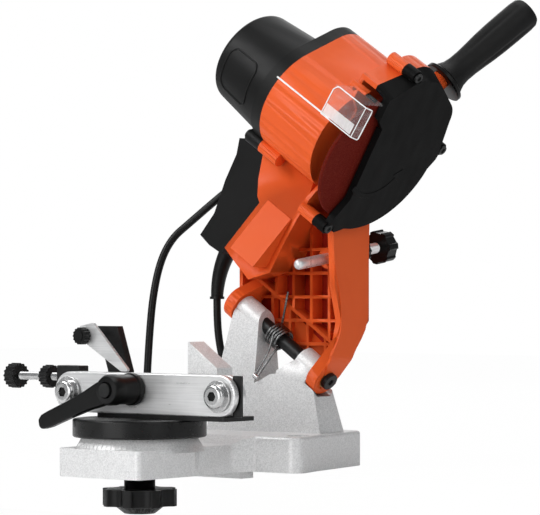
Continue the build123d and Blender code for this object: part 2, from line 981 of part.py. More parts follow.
def neck_outline():
    """Front view outline of the orange neck."""
    with BuildLine() as edge:
        Polyline(*arm_points(seam_shares), *arm_points(neck_shares), close=True)
    make_face(edge.edges())


def web_outline():
    """Front view outline of the web, from the hinge up to the motor."""
    low_left = head(0, -web_bottom, left_head_ear)
    low_right = head(0, -web_bottom, right_head_ear + head_ear_width)
    with BuildLine() as edge:
        Polyline(
            (low_left.X, low_left.Z),
            (-web_left, hinge_z + web_side_share * spindle_reach),
            *arm_points(seam_shares),
            *arm_points(neck_shares[:1]),
            (flange_x - flange_wall, flange_top),
            (flange_x - flange_wall, flange_low_z),
            (low_right.X, low_right.Z),
            close=True,
        )
    make_face(edge.edges())


def stop_rod_plane(along):
    """Plane square to the depth stop rod, at a distance behind its tip."""
    pitch = radians(stop_rod_pitch)
    way = Vector(0, cos(pitch), sin(pitch))
    tip = Vector(stop_rod_x, stop_rod_tip, stop_rod_tip_z)
    return Plane(origin=tip + way * along, x_dir=(1, 0, 0), z_dir=way)


def handle_plane(reach_out):
    """Plane square to the handle, at a distance from the spindle."""
    rise = radians(handle_rise)
    way = Vector(0, cos(rise), 0) + up_head * sin(rise)
    return Plane(origin=head(0, spindle_reach, 0) + way * reach_out, x_dir=hinge_axis, z_dir=way)


guard_screw_places = (
    (-top_boss_front, top_boss_up),
    (-low_boss_front, -low_boss_down),
    (rear_boss_rear, rear_boss_up),
)
closing_screw_places = (-closing_boss_front, -closing_boss_down), (closing_boss_front, -closing_boss_down)
rear_bearing_at = cap_end + shell_wall
bulkhead_at = guard_back_at - shell_wall
visor_pivot = -visor_rear, visor_high - visor_thick / 2
diagonal_middle = head(0, diagonal_up, 0)

# Ribs of the web, a full grid over the diagonal rib and a shallow one under it
with BuildPart() as web_ribs:
    with BuildSketch(front(web_front)):
        web_outline()
        with Locations((rib_start_x, rib_start_z)):
            with GridLocations(rib_pitch_x, rib_pitch_z, 9, 13):
                Rectangle(rib_pitch_x - rib_thick, rib_pitch_z - rib_thick, mode=Mode.SUBTRACT)
        with Locations(Location((diagonal_middle.X, diagonal_middle.Z), -head_tilt)):
            with Locations((0, -spindle_reach / 2)):
                Rectangle(2 * spindle_reach, spindle_reach, mode=Mode.SUBTRACT)
    extrude(amount=web_front - web_back)
    with BuildSketch(front(web_low_front)):
        web_outline()
        with Locations((rib_start_x + rib_pitch_x / 2, rib_start_z)):
            with GridLocations(rib_pitch_x, rib_pitch_z, 9, 13):
                Rectangle(rib_pitch_x - rib_thick, rib_pitch_z - rib_thick, mode=Mode.SUBTRACT)
        with Locations(Location((diagonal_middle.X, diagonal_middle.Z), -head_tilt)):
            with Locations((0, spindle_reach / 2)):
                Rectangle(2 * spindle_reach, spindle_reach, mode=Mode.SUBTRACT)
    extrude(amount=web_low_front - web_back)
    with BuildSketch(front(web_front)):
        web_outline()
        with Locations(Location((diagonal_middle.X, diagonal_middle.Z), -head_tilt)):
            Rectangle(2 * spindle_reach, rib_thick, mode=Mode.INTERSECT)
    extrude(amount=web_front - web_back)

with BuildPart() as right_ear:
    with BuildSketch(hinge(right_head_ear)):
        Circle(head_ear_radius)
        with Locations(((flange_nip + flange_rear) / 2 - hinge_y, ear_rise)):
            Rectangle(flange_rear - flange_nip, rib_thick)
        make_hull()
    extrude(amount=head_ear_width)
    with BuildSketch(side(flange_x)):
        with Locations((hinge_y, hinge_z)):
            Rectangle(2 * spindle_reach, 2 * spindle_reach)
    extrude(amount=spindle_reach, mode=Mode.SUBTRACT)

# Motor housing with the back of the guard and the arm
with BuildPart() as housing:
    add(web_ribs.part)
    add(right_ear.part)
    with BuildSketch(front(web_back - web_floor)):
        web_outline()
    extrude(amount=-web_floor)
    with BuildSketch(hinge(left_head_ear)):
        Circle(head_ear_radius)
        with Locations(((web_low_front + web_back) / 2 - hinge_y, diagonal_up)):
            Rectangle(web_back - web_low_front, rib_thick)
        make_hull()
    extrude(amount=head_ear_width)
    with BuildSketch(side(flange_x)):
        with BuildLine():
            Polyline(
                (flange_front, flange_top),
                (flange_front + rib_thick, flange_knee_z),
                (flange_nip, flange_nip_z),
                (flange_front + rib_thick, flange_low_z),
                (hinge_y + head_ear_radius, flange_low_z),
                (flange_rear - head_ear_radius / 2, flange_heel_z),
                (flange_rear, flange_nip_z),
                (flange_rear, flange_top),
                close=True,
            )
        make_face()
    extrude(amount=-flange_wall)
    with BuildSketch(side(-web_left)):
        with BuildLine():
            Polyline(
                (flange_nip, hinge_z + diagonal_up),
                (web_back, hinge_z + diagonal_up - web_floor),
                (web_back, hinge_z + web_side_share * spindle_reach),
                (flange_nip, hinge_z + web_side_share * spindle_reach),
                close=True,
            )
        make_face()
    extrude(amount=web_floor)
    with BuildSketch(front(neck_front)):
        neck_outline()
    extrude(amount=neck_front - web_back)
    with BuildSketch(hinge(box_left)):
        with BuildLine():
            Polyline(
                (neck_front - hinge_y, box_low),
                (-box_low_front, box_low),
                (-box_high_front, box_high),
                (neck_front + neck_wall - hinge_y, box_high),
                close=True,
            )
        make_face()
    extrude(amount=box_right - box_left)
    with BuildSketch(hinge(neck_room_left)):
        with Locations(((neck_front + web_back) / 2 - hinge_y, (neck_room_low + neck_room_high) / 2)):
            Rectangle(web_back - neck_front - 2 * neck_wall, neck_room_high - neck_room_low)
    extrude(amount=neck_room_right - neck_room_left, mode=Mode.SUBTRACT)
    # Depth stop boss
    with BuildSketch(stop_rod_plane(web_front - stop_rod_tip)):
        Circle(stop_boss_radius)
    extrude(amount=stop_nut_at - web_front + stop_rod_tip - air_gap)
    # Room under the guard cover and under the motor cap
    with BuildSketch(spindle(guard_split_at)):
        guard_outline(-air_gap)
    extrude(amount=guard_radius, mode=Mode.SUBTRACT)
    with BuildSketch(spindle(split_at)):
        motor_outline(-air_gap)
        with Locations(*closing_screw_places):
            Circle(closing_boss_radius + air_gap)
    extrude(amount=cap_end - split_at, mode=Mode.SUBTRACT)
    # Motor tube, guard back, handle boss, closing bosses and visor lug
    with BuildSketch(spindle(split_at)):
        motor_outline(0)
    extrude(amount=guard_back_at - split_at)
    with BuildSketch(spindle(split_at)):
        with Locations(*closing_screw_places):
            Circle(closing_boss_radius)
    extrude(amount=closing_boss_housing)
    with BuildSketch(spindle(guard_back_at)):
        guard_outline(0)
        open_mouth(0)
        with Locations(*guard_screw_places):
            Circle(guard_boss_radius)
    extrude(amount=guard_split_at - guard_back_at)
    with BuildSketch(handle_plane(guard_radius)):
        Circle(guard_split_at)
    extrude(amount=handle_start - guard_radius)
    with BuildSketch(spindle(guard_back_at)):
        with Locations(visor_pivot):
            Circle(visor_lug_radius)
        with Locations((visor_lug_radius / 2 - visor_rear, visor_high - visor_thick / 2)):
            Rectangle(visor_lug_radius + guard_boss_radius, visor_lug_radius)
    extrude(amount=guard_split_at - guard_back_at - air_gap)
    # Hollows
    with BuildSketch(spindle(split_at)):
        motor_outline(shell_wall)
    extrude(amount=bulkhead_at - split_at, mode=Mode.SUBTRACT)
    with BuildSketch(spindle(guard_back_at + guard_wall)):
        guard_outline(guard_wall)
        with Locations(*guard_screw_places):
            Circle(guard_boss_radius, mode=Mode.SUBTRACT)
    extrude(amount=guard_split_at - guard_back_at - guard_wall, mode=Mode.SUBTRACT)
    with BuildSketch(spindle(front_bearing_at)):
        Circle(front_bearing_radius + bearing_seat_wall)
        Circle(front_bearing_radius + fit_gap, mode=Mode.SUBTRACT)
    extrude(amount=bulkhead_at - front_bearing_at)
    with BuildSketch(spindle(bulkhead_at)):
        Circle(spindle_radius + bearing_seat_wall)
    extrude(amount=guard_split_at - bulkhead_at, mode=Mode.SUBTRACT)
    # Screw, bolt, pin and wire holes
    with BuildSketch(spindle(guard_back_at + guard_wall)):
        with Locations(*guard_screw_places):
            Circle(guard_screw_radius + fit_gap)
    extrude(amount=guard_split_at - guard_back_at, mode=Mode.SUBTRACT)
    with BuildSketch(spindle(split_at)):
        with Locations(*closing_screw_places):
            Circle(closing_screw_radius + fit_gap)
    extrude(amount=closing_boss_housing - shell_wall, mode=Mode.SUBTRACT)
    with BuildSketch(handle_plane(handle_start)):
        Circle(handle_bolt_radius + fit_gap)
    extrude(amount=-handle_boss_radius, mode=Mode.SUBTRACT)
    with BuildSketch(spindle(guard_back_at)):
        with Locations(visor_pivot):
            Circle(visor_pin_radius + fit_gap)
    extrude(amount=guard_split_at - guard_back_at, mode=Mode.SUBTRACT)
    with BuildSketch(hinge(left_head_ear - overrun)):
        Circle(shaft_radius + fit_gap + bush_wall + fit_gap)
    extrude(amount=right_head_ear + head_ear_width - left_head_ear + 2 * overrun, mode=Mode.SUBTRACT)
    with BuildSketch(stop_rod_plane(0)):
        Circle(stop_rod_radius + fit_gap)
    extrude(amount=stop_rod_length, mode=Mode.SUBTRACT)
    with BuildSketch(level(neck_room_high - wire_hole_radius)):
        with Locations((0, -(neck_room_left + neck_room_right) / 2)):
            Circle(wire_hole_radius)
    extrude(amount=motor_radius / 2, mode=Mode.SUBTRACT)
keep(housing, "housing")

# Black shell on the left of the neck, with the window of the switch
slope_turn = radians(switch_lean)
slope = Plane(
    origin=(switch_x, (black_front + black_back) / 2, switch_z),
    x_dir=(0, 1, 0),
    z_dir=(-sin(slope_turn), 0, cos(slope_turn)),
)
with BuildPart() as arm_shell:
    with BuildSketch(front(black_front)):
        with BuildLine():
            Polyline(*arm_points(seam_shares), *arm_points(black_shares), close=True)
        make_face()
    extrude(amount=black_front - black_back)
    with BuildSketch(slope.offset(-switch_rim)):
        Rectangle(black_back - black_front - 2 * switch_rim, rocker_width + 2 * rocker_play + 2 * switch_rim)
    extrude(amount=-switch_deep, mode=Mode.SUBTRACT)
    with BuildSketch(slope.offset(rocker_proud)):
        Rectangle(rocker_length + 2 * rocker_play, rocker_width + 2 * rocker_play)
    extrude(amount=-rocker_proud - 2 * switch_rim, mode=Mode.SUBTRACT)
    with BuildSketch(spindle(split_at)):
        motor_outline(-air_gap)
        with Locations(*closing_screw_places):
            Circle(closing_boss_radius + air_gap)
    extrude(amount=cap_end - split_at, mode=Mode.SUBTRACT)
keep(arm_shell, "arm_shell")

with BuildPart() as switch_body:
    with BuildSketch(slope.offset(-switch_rim - fit_gap)):
        Rectangle(rocker_length + 2 * rocker_play + switch_rim, rocker_width + 2 * rocker_play + switch_rim)
    extrude(amount=-switch_deep + 2 * fit_gap)
    with BuildSketch(slope):
        Rectangle(rocker_length + 2 * rocker_play, rocker_width + 2 * rocker_play)
    extrude(amount=-rocker_deep - rocker_play - rocker_proud, mode=Mode.SUBTRACT)
keep(switch_body, "switch_body")

with BuildPart() as rocker_switch:
    with BuildSketch(slope.offset(rocker_proud)):
        Rectangle(rocker_length, rocker_width)
    extrude(amount=-rocker_deep)
    chamfer(rocker_switch.edges().filter_by(Axis.Y, reverse=True).group_by(Axis.Y)[0], rocker_play)
keep(rocker_switch, "rocker_switch")

# Motor cap
with BuildPart() as motor_cap:
    with BuildSketch(spindle(split_at)):
        motor_outline(0)
    extrude(amount=-shoulder)
    with BuildSketch(spindle(split_at - shoulder)):
        Circle(cap_root_radius)
    with BuildSketch(spindle(cap_end)):
        Circle(cap_end_radius)
    loft()
    end_rim = motor_cap.edges().filter_by(GeomType.CIRCLE).sort_by(lambda edge: (edge @ 0).X)[0]
    fillet(end_rim, cap_round)
    with BuildSketch(spindle(split_at)):
        with Locations(*closing_screw_places):
            Circle(closing_boss_radius)
    extrude(amount=-closing_boss_cap)
    with BuildSketch(spindle(split_at)):
        motor_outline(shell_wall)
    extrude(amount=shell_wall - shoulder, mode=Mode.SUBTRACT)
    with BuildSketch(spindle(split_at - shoulder + shell_wall)):
        Circle(cap_root_radius - shell_wall)
    with BuildSketch(spindle(rear_bearing_at)):
        Circle(cap_end_radius - shell_wall)
    loft(mode=Mode.SUBTRACT)
    with BuildSketch(spindle(rear_bearing_at)):
        Circle(rear_bearing_radius + bearing_seat_wall)
        Circle(rear_bearing_radius + fit_gap, mode=Mode.SUBTRACT)
    extrude(amount=rear_bearing_width)
    with BuildSketch(spindle(stator_at)):
        with PolarLocations(stator_radius + bearing_seat_wall, 4):
            Rectangle(2 * bearing_seat_wall, 2 * bearing_seat_wall)
        Circle(stator_radius + fit_gap, mode=Mode.SUBTRACT)
    extrude(amount=stator_length / 2)
    with BuildSketch(spindle(split_at)):
        with Locations(*closing_screw_places):
            Circle(closing_screw_radius + fit_gap)
    extrude(amount=-closing_boss_cap, mode=Mode.SUBTRACT)
keep(motor_cap, "motor_cap")

with BuildPart() as closing_screws:
    with BuildSketch(spindle(split_at - closing_boss_cap)):
        with Locations(*closing_screw_places):
            Circle(2 * closing_screw_radius)
    extrude(amount=-closing_screw_radius)
    with BuildSketch(spindle(split_at - closing_boss_cap)):
        with Locations(*closing_screw_places):
            Circle(closing_screw_radius)
    extrude(amount=closing_boss_cap + closing_boss_housing / 2)
keep(closing_screws, "closing_screws")

# Guard cover and its screws
with BuildPart() as guard_cover:
    with BuildSketch(spindle(guard_split_at)):
        guard_outline(0)
        open_mouth(0)
    extrude(amount=guard_face_at - guard_split_at)
    with BuildSketch(spindle(guard_split_at)):
        with Locations(*guard_screw_places):
            Circle(guard_boss_radius)
    extrude(amount=guard_boss_end - guard_split_at)
    with BuildSketch(spindle(guard_split_at)):
        guard_outline(guard_wall)
        with Locations(*guard_screw_places):
            Circle(guard_boss_radius, mode=Mode.SUBTRACT)
    extrude(amount=guard_lip_at - guard_split_at, mode=Mode.SUBTRACT)
    with BuildSketch(spindle(guard_lip_at)):
        guard_outline(guard_wall)
        open_mouth(guard_wall)
        with Locations(*guard_screw_places):
            Circle(guard_boss_radius, mode=Mode.SUBTRACT)
    extrude(amount=guard_face_at - guard_wall - guard_lip_at, mode=Mode.SUBTRACT)
    with BuildSketch(spindle(guard_split_at)):
        with Locations(*guard_screw_places):
            Circle(guard_screw_radius + fit_gap)
    extrude(amount=guard_face_at - guard_split_at + overrun, mode=Mode.SUBTRACT)
    with BuildSketch(spindle(guard_boss_end)):
        with Locations(*guard_screw_places):
            Circle(guard_screw_head_radius + fit_gap)
    extrude(amount=overrun, mode=Mode.SUBTRACT)
keep(guard_cover, "guard_cover")

with BuildPart() as guard_screws:
    with BuildSketch(spindle(guard_boss_end)):
        with Locations(*guard_screw_places):
            Circle(guard_screw_head_radius)
    extrude(amount=guard_screw_radius)
    with BuildSketch(spindle(guard_boss_end + guard_screw_radius)):
        with Locations(*guard_screw_places):
            RegularPolygon(guard_screw_radius, 6)
    extrude(amount=-guard_screw_radius / 2, mode=Mode.SUBTRACT)
    with BuildSketch(spindle(guard_boss_end)):
        with Locations(*guard_screw_places):
            Circle(guard_screw_radius)
    extrude(amount=guard_split_at - guard_boss_end - guard_wall)
keep(guard_screws, "guard_screws")

# Visor: clear hood over the front of the wheel, open below and behind
with BuildPart() as visor:
    with BuildSketch(level(spindle_reach + visor_low)):
        with BuildLine():
            Polyline(
                (-visor_front, -visor_start),
                (-visor_front, visor_bevel - visor_end),
                (visor_bevel - visor_front, -visor_end),
                (-visor_rear, -visor_end),
                (-visor_rear, -visor_start),
                close=True,
            )
        make_face()
    extrude(amount=visor_high - visor_low)
    with BuildSketch(level(spindle_reach + visor_low)):
        with BuildLine():
            Polyline(
                (visor_thick - visor_front, -visor_start - visor_thick),
                (visor_thick - visor_front, visor_bevel - visor_end),
                (visor_bevel - visor_front + visor_thick / 2, visor_thick - visor_end),
                (overrun - visor_rear, visor_thick - visor_end),
                (overrun - visor_rear, -visor_start - visor_thick),
                close=True,
            )
        make_face()
    extrude(amount=visor_high - visor_low - visor_thick, mode=Mode.SUBTRACT)
    with BuildSketch(spindle(visor_start)):
        with Locations(visor_pivot):
            Circle(visor_lug_radius)
    extrude(amount=guard_split_at - visor_start + visor_lug)
    with BuildSketch(level(spindle_reach + visor_low - overrun)):
        with Locations(((visor_bevel - visor_front) / 2, -(visor_roof_end + visor_end + overrun) / 2)):
            Rectangle(visor_front - visor_bevel, visor_end + overrun - visor_roof_end)
    extrude(amount=visor_high - visor_low + 2 * overrun, mode=Mode.SUBTRACT)
    with BuildSketch(spindle(visor_start)):
        with Locations((visor_lug_radius - visor_rear, visor_high)):
            Rectangle(2 * visor_lug_radius, 4 * visor_lug_radius)
    extrude(amount=visor_end - visor_start, mode=Mode.SUBTRACT)
    with BuildSketch(spindle(guard_split_at)):
        with Locations(visor_pivot):
            Circle(visor_lug_radius)
    extrude(amount=visor_lug)
    with BuildSketch(spindle(visor_start - overrun)):
        with Locations(visor_pivot):
            Circle(visor_lug_radius + rocker_play)
    extrude(amount=guard_split_at - visor_start + overrun, mode=Mode.SUBTRACT)
    with BuildSketch(spindle(guard_split_at)):
        with Locations(visor_pivot):
            Circle(visor_pin_radius + fit_gap)
    extrude(amount=visor_lug, mode=Mode.SUBTRACT)
keep(visor, "visor")

with BuildPart() as visor_pin:
    with BuildSketch(spindle(guard_back_at)):
        with Locations(visor_pivot):
            Circle(visor_pin_radius)
    extrude(amount=guard_split_at - guard_back_at + visor_lug)
keep(visor_pin, "visor_pin")

# Handle
with BuildPart() as handle_ring:
    with BuildSketch(handle_plane(handle_start)):
        Circle(handle_flange_radius)
        Circle(handle_bolt_radius + fit_gap, mode=Mode.SUBTRACT)
    extrude(amount=handle_flange)
    fillet(handle_ring.edges().filter_by(GeomType.CIRCLE).group_by(SortBy.RADIUS)[-1], handle_flange / 3)
keep(handle_ring, "handle_ring")

with BuildPart() as handle_grip:
    with BuildSketch(handle_plane(handle_start + handle_flange)):
        Circle(handle_neck_radius)
    with BuildSketch(handle_plane(handle_start + handle_length)):
        Circle(handle_end_radius)
    loft()
    fillet(handle_grip.edges().filter_by(GeomType.CIRCLE).sort_by(Axis.Z)[-1], handle_round)
    with BuildSketch(handle_plane(handle_start + handle_flange)):
        Circle(handle_bolt_radius + fit_gap)
    extrude(amount=handle_length / 2, mode=Mode.SUBTRACT)
keep(handle_grip, "handle_grip")

with BuildPart() as handle_bolt:
    with BuildSketch(handle_plane(handle_start - handle_boss_radius + fit_gap)):
        Circle(handle_bolt_radius)
    extrude(amount=handle_boss_radius + handle_flange + handle_length / 2 - 2 * fit_gap)
keep(handle_bolt, "handle_bolt")

# Spindle group: armature, fan, flange, wheel and nut
with BuildPart() as armature:
    with BuildSketch(spindle(rear_bearing_at)):
        Circle(spindle_radius)
    extrude(amount=spindle_end - rear_bearing_at)
    with BuildSketch(spindle(stator_at)):
        Circle(stator_bore_radius - rotor_gap)
        with PolarLocations(stator_bore_radius - rotor_gap, fan_blades):
            Rectangle(commutator_length, fan_blade_thick, mode=Mode.SUBTRACT)
    extrude(amount=stator_length)
    with BuildSketch(spindle(commutator_at)):
        Circle(commutator_radius)
    extrude(amount=commutator_length)
keep(armature, "armature")

with BuildPart() as fan:
    with BuildSketch(spindle(fan_at)):
        Circle(fan_radius)
        Circle(spindle_radius + fit_gap, mode=Mode.SUBTRACT)
    extrude(amount=fan_blade_thick)
    with BuildSketch(spindle(fan_at)):
        Circle(fan_hub_radius)
        with PolarLocations((fan_hub_radius + fan_radius) / 2 - fan_blade_thick, fan_blades):
            Rectangle(fan_radius - fan_hub_radius, fan_blade_thick)
        Circle(spindle_radius + fit_gap, mode=Mode.SUBTRACT)
    extrude(amount=fan_width)
keep(fan, "fan")

wheel_back = wheel_at - wheel_thick / 2
wheel_face = wheel_at + wheel_thick / 2
with BuildPart() as wheel_flange:
    with BuildSketch(spindle(wheel_back)):
        Circle(flange_radius)
    extrude(amount=-flange_width)
    with BuildSketch(spindle(wheel_back)):
        Circle(wheel_bore_radius - fit_gap)
    extrude(amount=wheel_thick - air_gap)
    with BuildSketch(spindle(wheel_back - flange_width)):
        Circle(spindle_radius + fit_gap)
    extrude(amount=flange_width + wheel_thick, mode=Mode.SUBTRACT)
keep(wheel_flange, "wheel_flange")

with BuildPart() as grinding_wheel:
    with BuildSketch(spindle(wheel_back)):
        Circle(wheel_radius)
        Circle(wheel_bore_radius, mode=Mode.SUBTRACT)
    extrude(amount=wheel_thick)
    chamfer(grinding_wheel.edges().filter_by(GeomType.CIRCLE).group_by(SortBy.RADIUS)[-1], wheel_thick / 4)
keep(grinding_wheel, "grinding_wheel")

with BuildPart() as flange_nut:
    with BuildSketch(spindle(wheel_face)):
        Circle(nut_collar_radius)
    extrude(amount=nut_collar)
    with BuildSketch(spindle(wheel_face)):
        RegularPolygon(nut_radius, 6)
    extrude(amount=spindle_end - wheel_face)
    with BuildSketch(spindle(wheel_face)):
        Circle(spindle_radius + fit_gap)
    extrude(amount=spindle_end - wheel_face, mode=Mode.SUBTRACT)
keep(flange_nut, "flange_nut")

# Bearings, stator, field coils and brushes
with BuildPart() as bearings:
    with BuildSketch(spindle(front_bearing_at)):
        Circle(front_bearing_radius)
        Circle(spindle_radius + fit_gap, mode=Mode.SUBTRACT)
    extrude(amount=front_bearing_width)
    with BuildSketch(spindle(rear_bearing_at)):
        Circle(rear_bearing_radius)
        Circle(spindle_radius + fit_gap, mode=Mode.SUBTRACT)
    extrude(amount=rear_bearing_width)
keep(bearings, "bearings")

field_coil_places = (0, field_coil_out), (0, -field_coil_out)
with BuildPart() as stator:
    with BuildSketch(spindle(stator_at)):
        Circle(stator_radius)
        Circle(stator_bore_radius, mode=Mode.SUBTRACT)
        with Locations(*field_coil_places):
            Rectangle(field_coil_width, field_coil_height, mode=Mode.SUBTRACT)
    extrude(amount=stator_length)
keep(stator, "stator")

with BuildPart() as field_coils:
    with BuildSketch(spindle(stator_at - field_coil_turn)):
        with Locations(*field_coil_places):
            Rectangle(field_coil_width - 2 * fit_gap, field_coil_height - 2 * fit_gap)
    extrude(amount=stator_length + 2 * field_coil_turn)
keep(field_coils, "field_coils")

brush_middle = commutator_at + commutator_length / 2
cap_slope = (cap_root_radius - cap_end_radius) / (split_at - shoulder - cap_end)
cap_room_radius = cap_end_radius - shell_wall - air_gap + cap_slope * (brush_middle - brush_width - cap_end)
brush_start = commutator_radius + air_gap
with BuildPart() as brush_holders:
    with BuildSketch(spindle(brush_middle - brush_width / 2 - brush_wall)):
        with GridLocations(brush_start + cap_room_radius + brush_wall - air_gap, brush_width, 2, 1):
            Rectangle(cap_room_radius - brush_start - brush_wall - air_gap, brush_width + 2 * brush_wall)
    extrude(amount=brush_width + 2 * brush_wall)
    with BuildSketch(spindle(brush_middle - brush_width / 2)):
        Rectangle(2 * (brush_start + brush_length + brush_wall), brush_width)
    extrude(amount=brush_width, mode=Mode.SUBTRACT)
keep(brush_holders, "brush_holders")

with BuildPart() as brushes:
    with BuildSketch(spindle(brush_middle - brush_width / 2 + fit_gap)):
        with GridLocations(2 * brush_start + brush_length, brush_width, 2, 1):
            Rectangle(brush_length, brush_width - 2 * fit_gap)
    extrude(amount=brush_width - 2 * fit_gap)
keep(brushes, "brushes")

# Depth stop: rod with its star knob, and the nut that locks it behind the web
with BuildPart() as depth_stop_screw:
    with BuildSketch(stop_rod_plane(0)):
        Circle(stop_rod_radius)
    extrude(amount=stop_rod_length)
    fillet(depth_stop_screw.edges().filter_by(GeomType.CIRCLE).sort_by(Axis.Y)[0], stop_rod_radius / 2)
    with BuildSketch(stop_rod_plane(stop_rod_length - star_width)):
        Circle(star_radius)
        with PolarLocations(star_radius + star_notch_radius / 2, star_points):
            Circle(star_notch_radius, mode=Mode.SUBTRACT)
    extrude(amount=star_width)
keep(depth_stop_screw, "depth_stop_screw")

with BuildPart() as depth_stop_nut:
    with BuildSketch(stop_rod_plane(stop_nut_at)):
        RegularPolygon(stop_nut_radius, 6)
        Circle(stop_rod_radius + fit_gap, mode=Mode.SUBTRACT)
    extrude(amount=stop_nut_width)
keep(depth_stop_nut, "depth_stop_nut")


def two_arcs(begin, leave, end, arrive):
    """Two arcs, tangent to each other, that leave one point and reach another in given directions."""
    chord, both = end - begin, leave + arrive
    spare = 4 - both.dot(both)
    reach_out = (sqrt(chord.dot(both) ** 2 + spare * chord.dot(chord)) - chord.dot(both)) / spare
    first, last = begin + leave * reach_out, end - arrive * reach_out
    middle = (first + last) / 2
    TangentArc(begin, middle, tangent=leave)
    TangentArc(middle, end, tangent=last - first)


def smooth_path(place, stations, step):
    """Arcs along a curve, two between each pair of stations."""
    for start, stop in zip(stations, stations[1:]):
        leave = (place(start + step) - place(start - step)).normalized()
        arrive = (place(stop + step) - place(stop - step)).normalized()
        two_arcs(place(start), leave, place(stop), arrive)


def least_gap(line, thick, samples, skip):
    """Least gap of a tube to itself, from points along its line that lie more than a stretch apart."""
    points = [line @ (n / samples) for n in range(samples + 1)]
    apart = round(skip / line.length * samples)
    pairs = ((i, j) for i in range(samples + 1) for j in range(i + apart, samples + 1))
    return min((points[i] - points[j]).length for i, j in pairs) - thick


# Return spring: two coils joined by a bridge that hooks into the casting
def coil_point(turns, start, way):
    """Point of a coil after so many turns from the rear of the hinge shaft, each way from its start."""
    turned = -2 * pi * turns
    return head(coil_radius * cos(turned), coil_radius * sin(turned), start + way * coil_pitch * turns)


coil_stations = [quarter / 4 for quarter in range(4 * coil_turns + 1)] + [coil_turns + coil_finish_share]
coil_travel = coil_pitch * coil_stations[-1]
bridge_left = coil_start + coil_travel
coil_end = bridge_left + bridge_width + coil_travel
leg_turned = -2 * pi * coil_finish_share
leg_lead = head(sin(leg_turned), -cos(leg_turned), 0) - head(0, 0, 0)
leg_middle = hinge_axis * bridge_width / 2
leg_top = coil_point(coil_stations[-1], coil_start, 1) + leg_lead * spring_lead + leg_middle
leg_foot = head(-bridge_front, -bridge_drop, bridge_left + bridge_width / 2 + bridge_drift)
leg_way = (leg_foot - leg_top).normalized()
leg_apart = (hinge_axis - leg_way * hinge_axis.dot(leg_way)).normalized() * (bridge_width / 2)
arm_way = Vector(0, -spring_arm_lean, 0) + up_head * spring_arm_rise - hinge_axis * spring_arm_drift
arm_start = head(coil_radius, 0, coil_start) + arm_way.normalized() * spring_end
arc_step = 0.001
with BuildPart() as return_spring:
    with BuildLine() as spring_line:
        Line(arm_start, head(coil_radius, 0, coil_start))
        for first, way, shift in ((coil_start, 1, -leg_apart), (coil_end, -1, leg_apart)):
            smooth_path(lambda turns: coil_point(turns, first, way), coil_stations, arc_step)
            leaving = coil_point(coil_stations[-1], first, way)
            bend_start, bend_end = leaving + leg_lead * spring_lead, leg_top + shift + leg_way * spring_bend
            Line(leaving, bend_start)
            two_arcs(bend_start, leg_lead, bend_end, leg_way)
            Line(bend_end, leg_foot + shift)
        ThreePointArc(leg_foot - leg_apart, leg_foot + leg_way * leg_apart.length, leg_foot + leg_apart)
        Line(head(coil_radius, 0, coil_end), head(coil_radius, spring_end, coil_end))
    with BuildSketch(Plane(origin=arm_start, z_dir=-arm_way)):
        Circle(wire / 2)
    sweep(path=spring_line.wires()[0])
print("spring gap", least_gap(spring_line.wires()[0], wire, gap_samples, 4 * wire))
keep(return_spring, "return_spring")

with BuildPart() as spring_arm:
    with BuildSketch(Plane(origin=arm_start + arm_way.normalized() * air_gap, z_dir=arm_way)):
        Circle(wire / 2)
    extrude(amount=arm_way.length)
keep(spring_arm, "spring_arm")


# Strain relief: a tapered sleeve that bends down from the black shell
def relief_plane(share):
    """Plane square to the strain relief, from its root at 0 to its end at 1."""
    turned = radians(relief_turn) * (1 - share)
    centre = Vector(relief_x + relief_bend, relief_y, relief_z)
    reach_out = Vector(-cos(turned), 0, sin(turned))
    onward = Vector(-sin(turned), 0, -cos(turned))
    return Plane(origin=centre + reach_out * relief_bend, x_dir=(0, 1, 0), z_dir=onward)


with BuildPart() as strain_relief:
    for share, radius in (
        (0, relief_root_radius),
        (1 / 2, (relief_root_radius + relief_tip_radius) / 2),
        (1, relief_tip_radius),
    ):
        with BuildSketch(relief_plane(share)):
            Circle(radius)
    loft()
    with BuildSketch(relief_plane(1)):
        Circle(relief_ring_radius)
    extrude(amount=-relief_ring)
    with BuildSketch(relief_plane(0)):
        Circle(relief_root_radius)
    extrude(amount=-relief_seat)
    add(arm_shell.part, mode=Mode.SUBTRACT)
    add(housing.part, mode=Mode.SUBTRACT)
keep(strain_relief, "strain_relief")

# Stored coil of the cord: in by so many turns, up a layer as the spiral turns round, and out again
cord_radius = cord_diameter / 2
cord_pitch = cord_diameter + cord_gap
heading = radians(store_heading)
outer_radius = store_radius + cord_pitch * store_turns / 2


def store_point(turns):
    """Centre of the cord after so many turns of the stored coil."""
    half = 1 / 2
    inward = min(turns, store_turns + half / 2)
    outward = max(turns - store_turns - half / 2, 0)
    out = outer_radius - cord_pitch * (inward - outward)
    climb = min(max((turns - store_turns) / half, 0), 1)
    up = cord_radius + cord_pitch * climb * climb * (3 - 2 * climb)
    turned = heading + pi - 2 * pi * turns
    return Vector(store_x + out * cos(turned), store_y + out * sin(turned), up)


def radii_of(points):
    """Arc radius at each corner of a route: 0.45 of the shorter run over the tangent of half the turn."""
    radii = []
    for before, corner, after in zip(points, points[1:], points[2:]):
        arriving, leaving = corner - before, after - corner
        shorter = min(arriving.length, leaving.length)
        radii.append(run_share * shorter / tan(radians(arriving.get_angle(leaving)) / 2))
    return radii


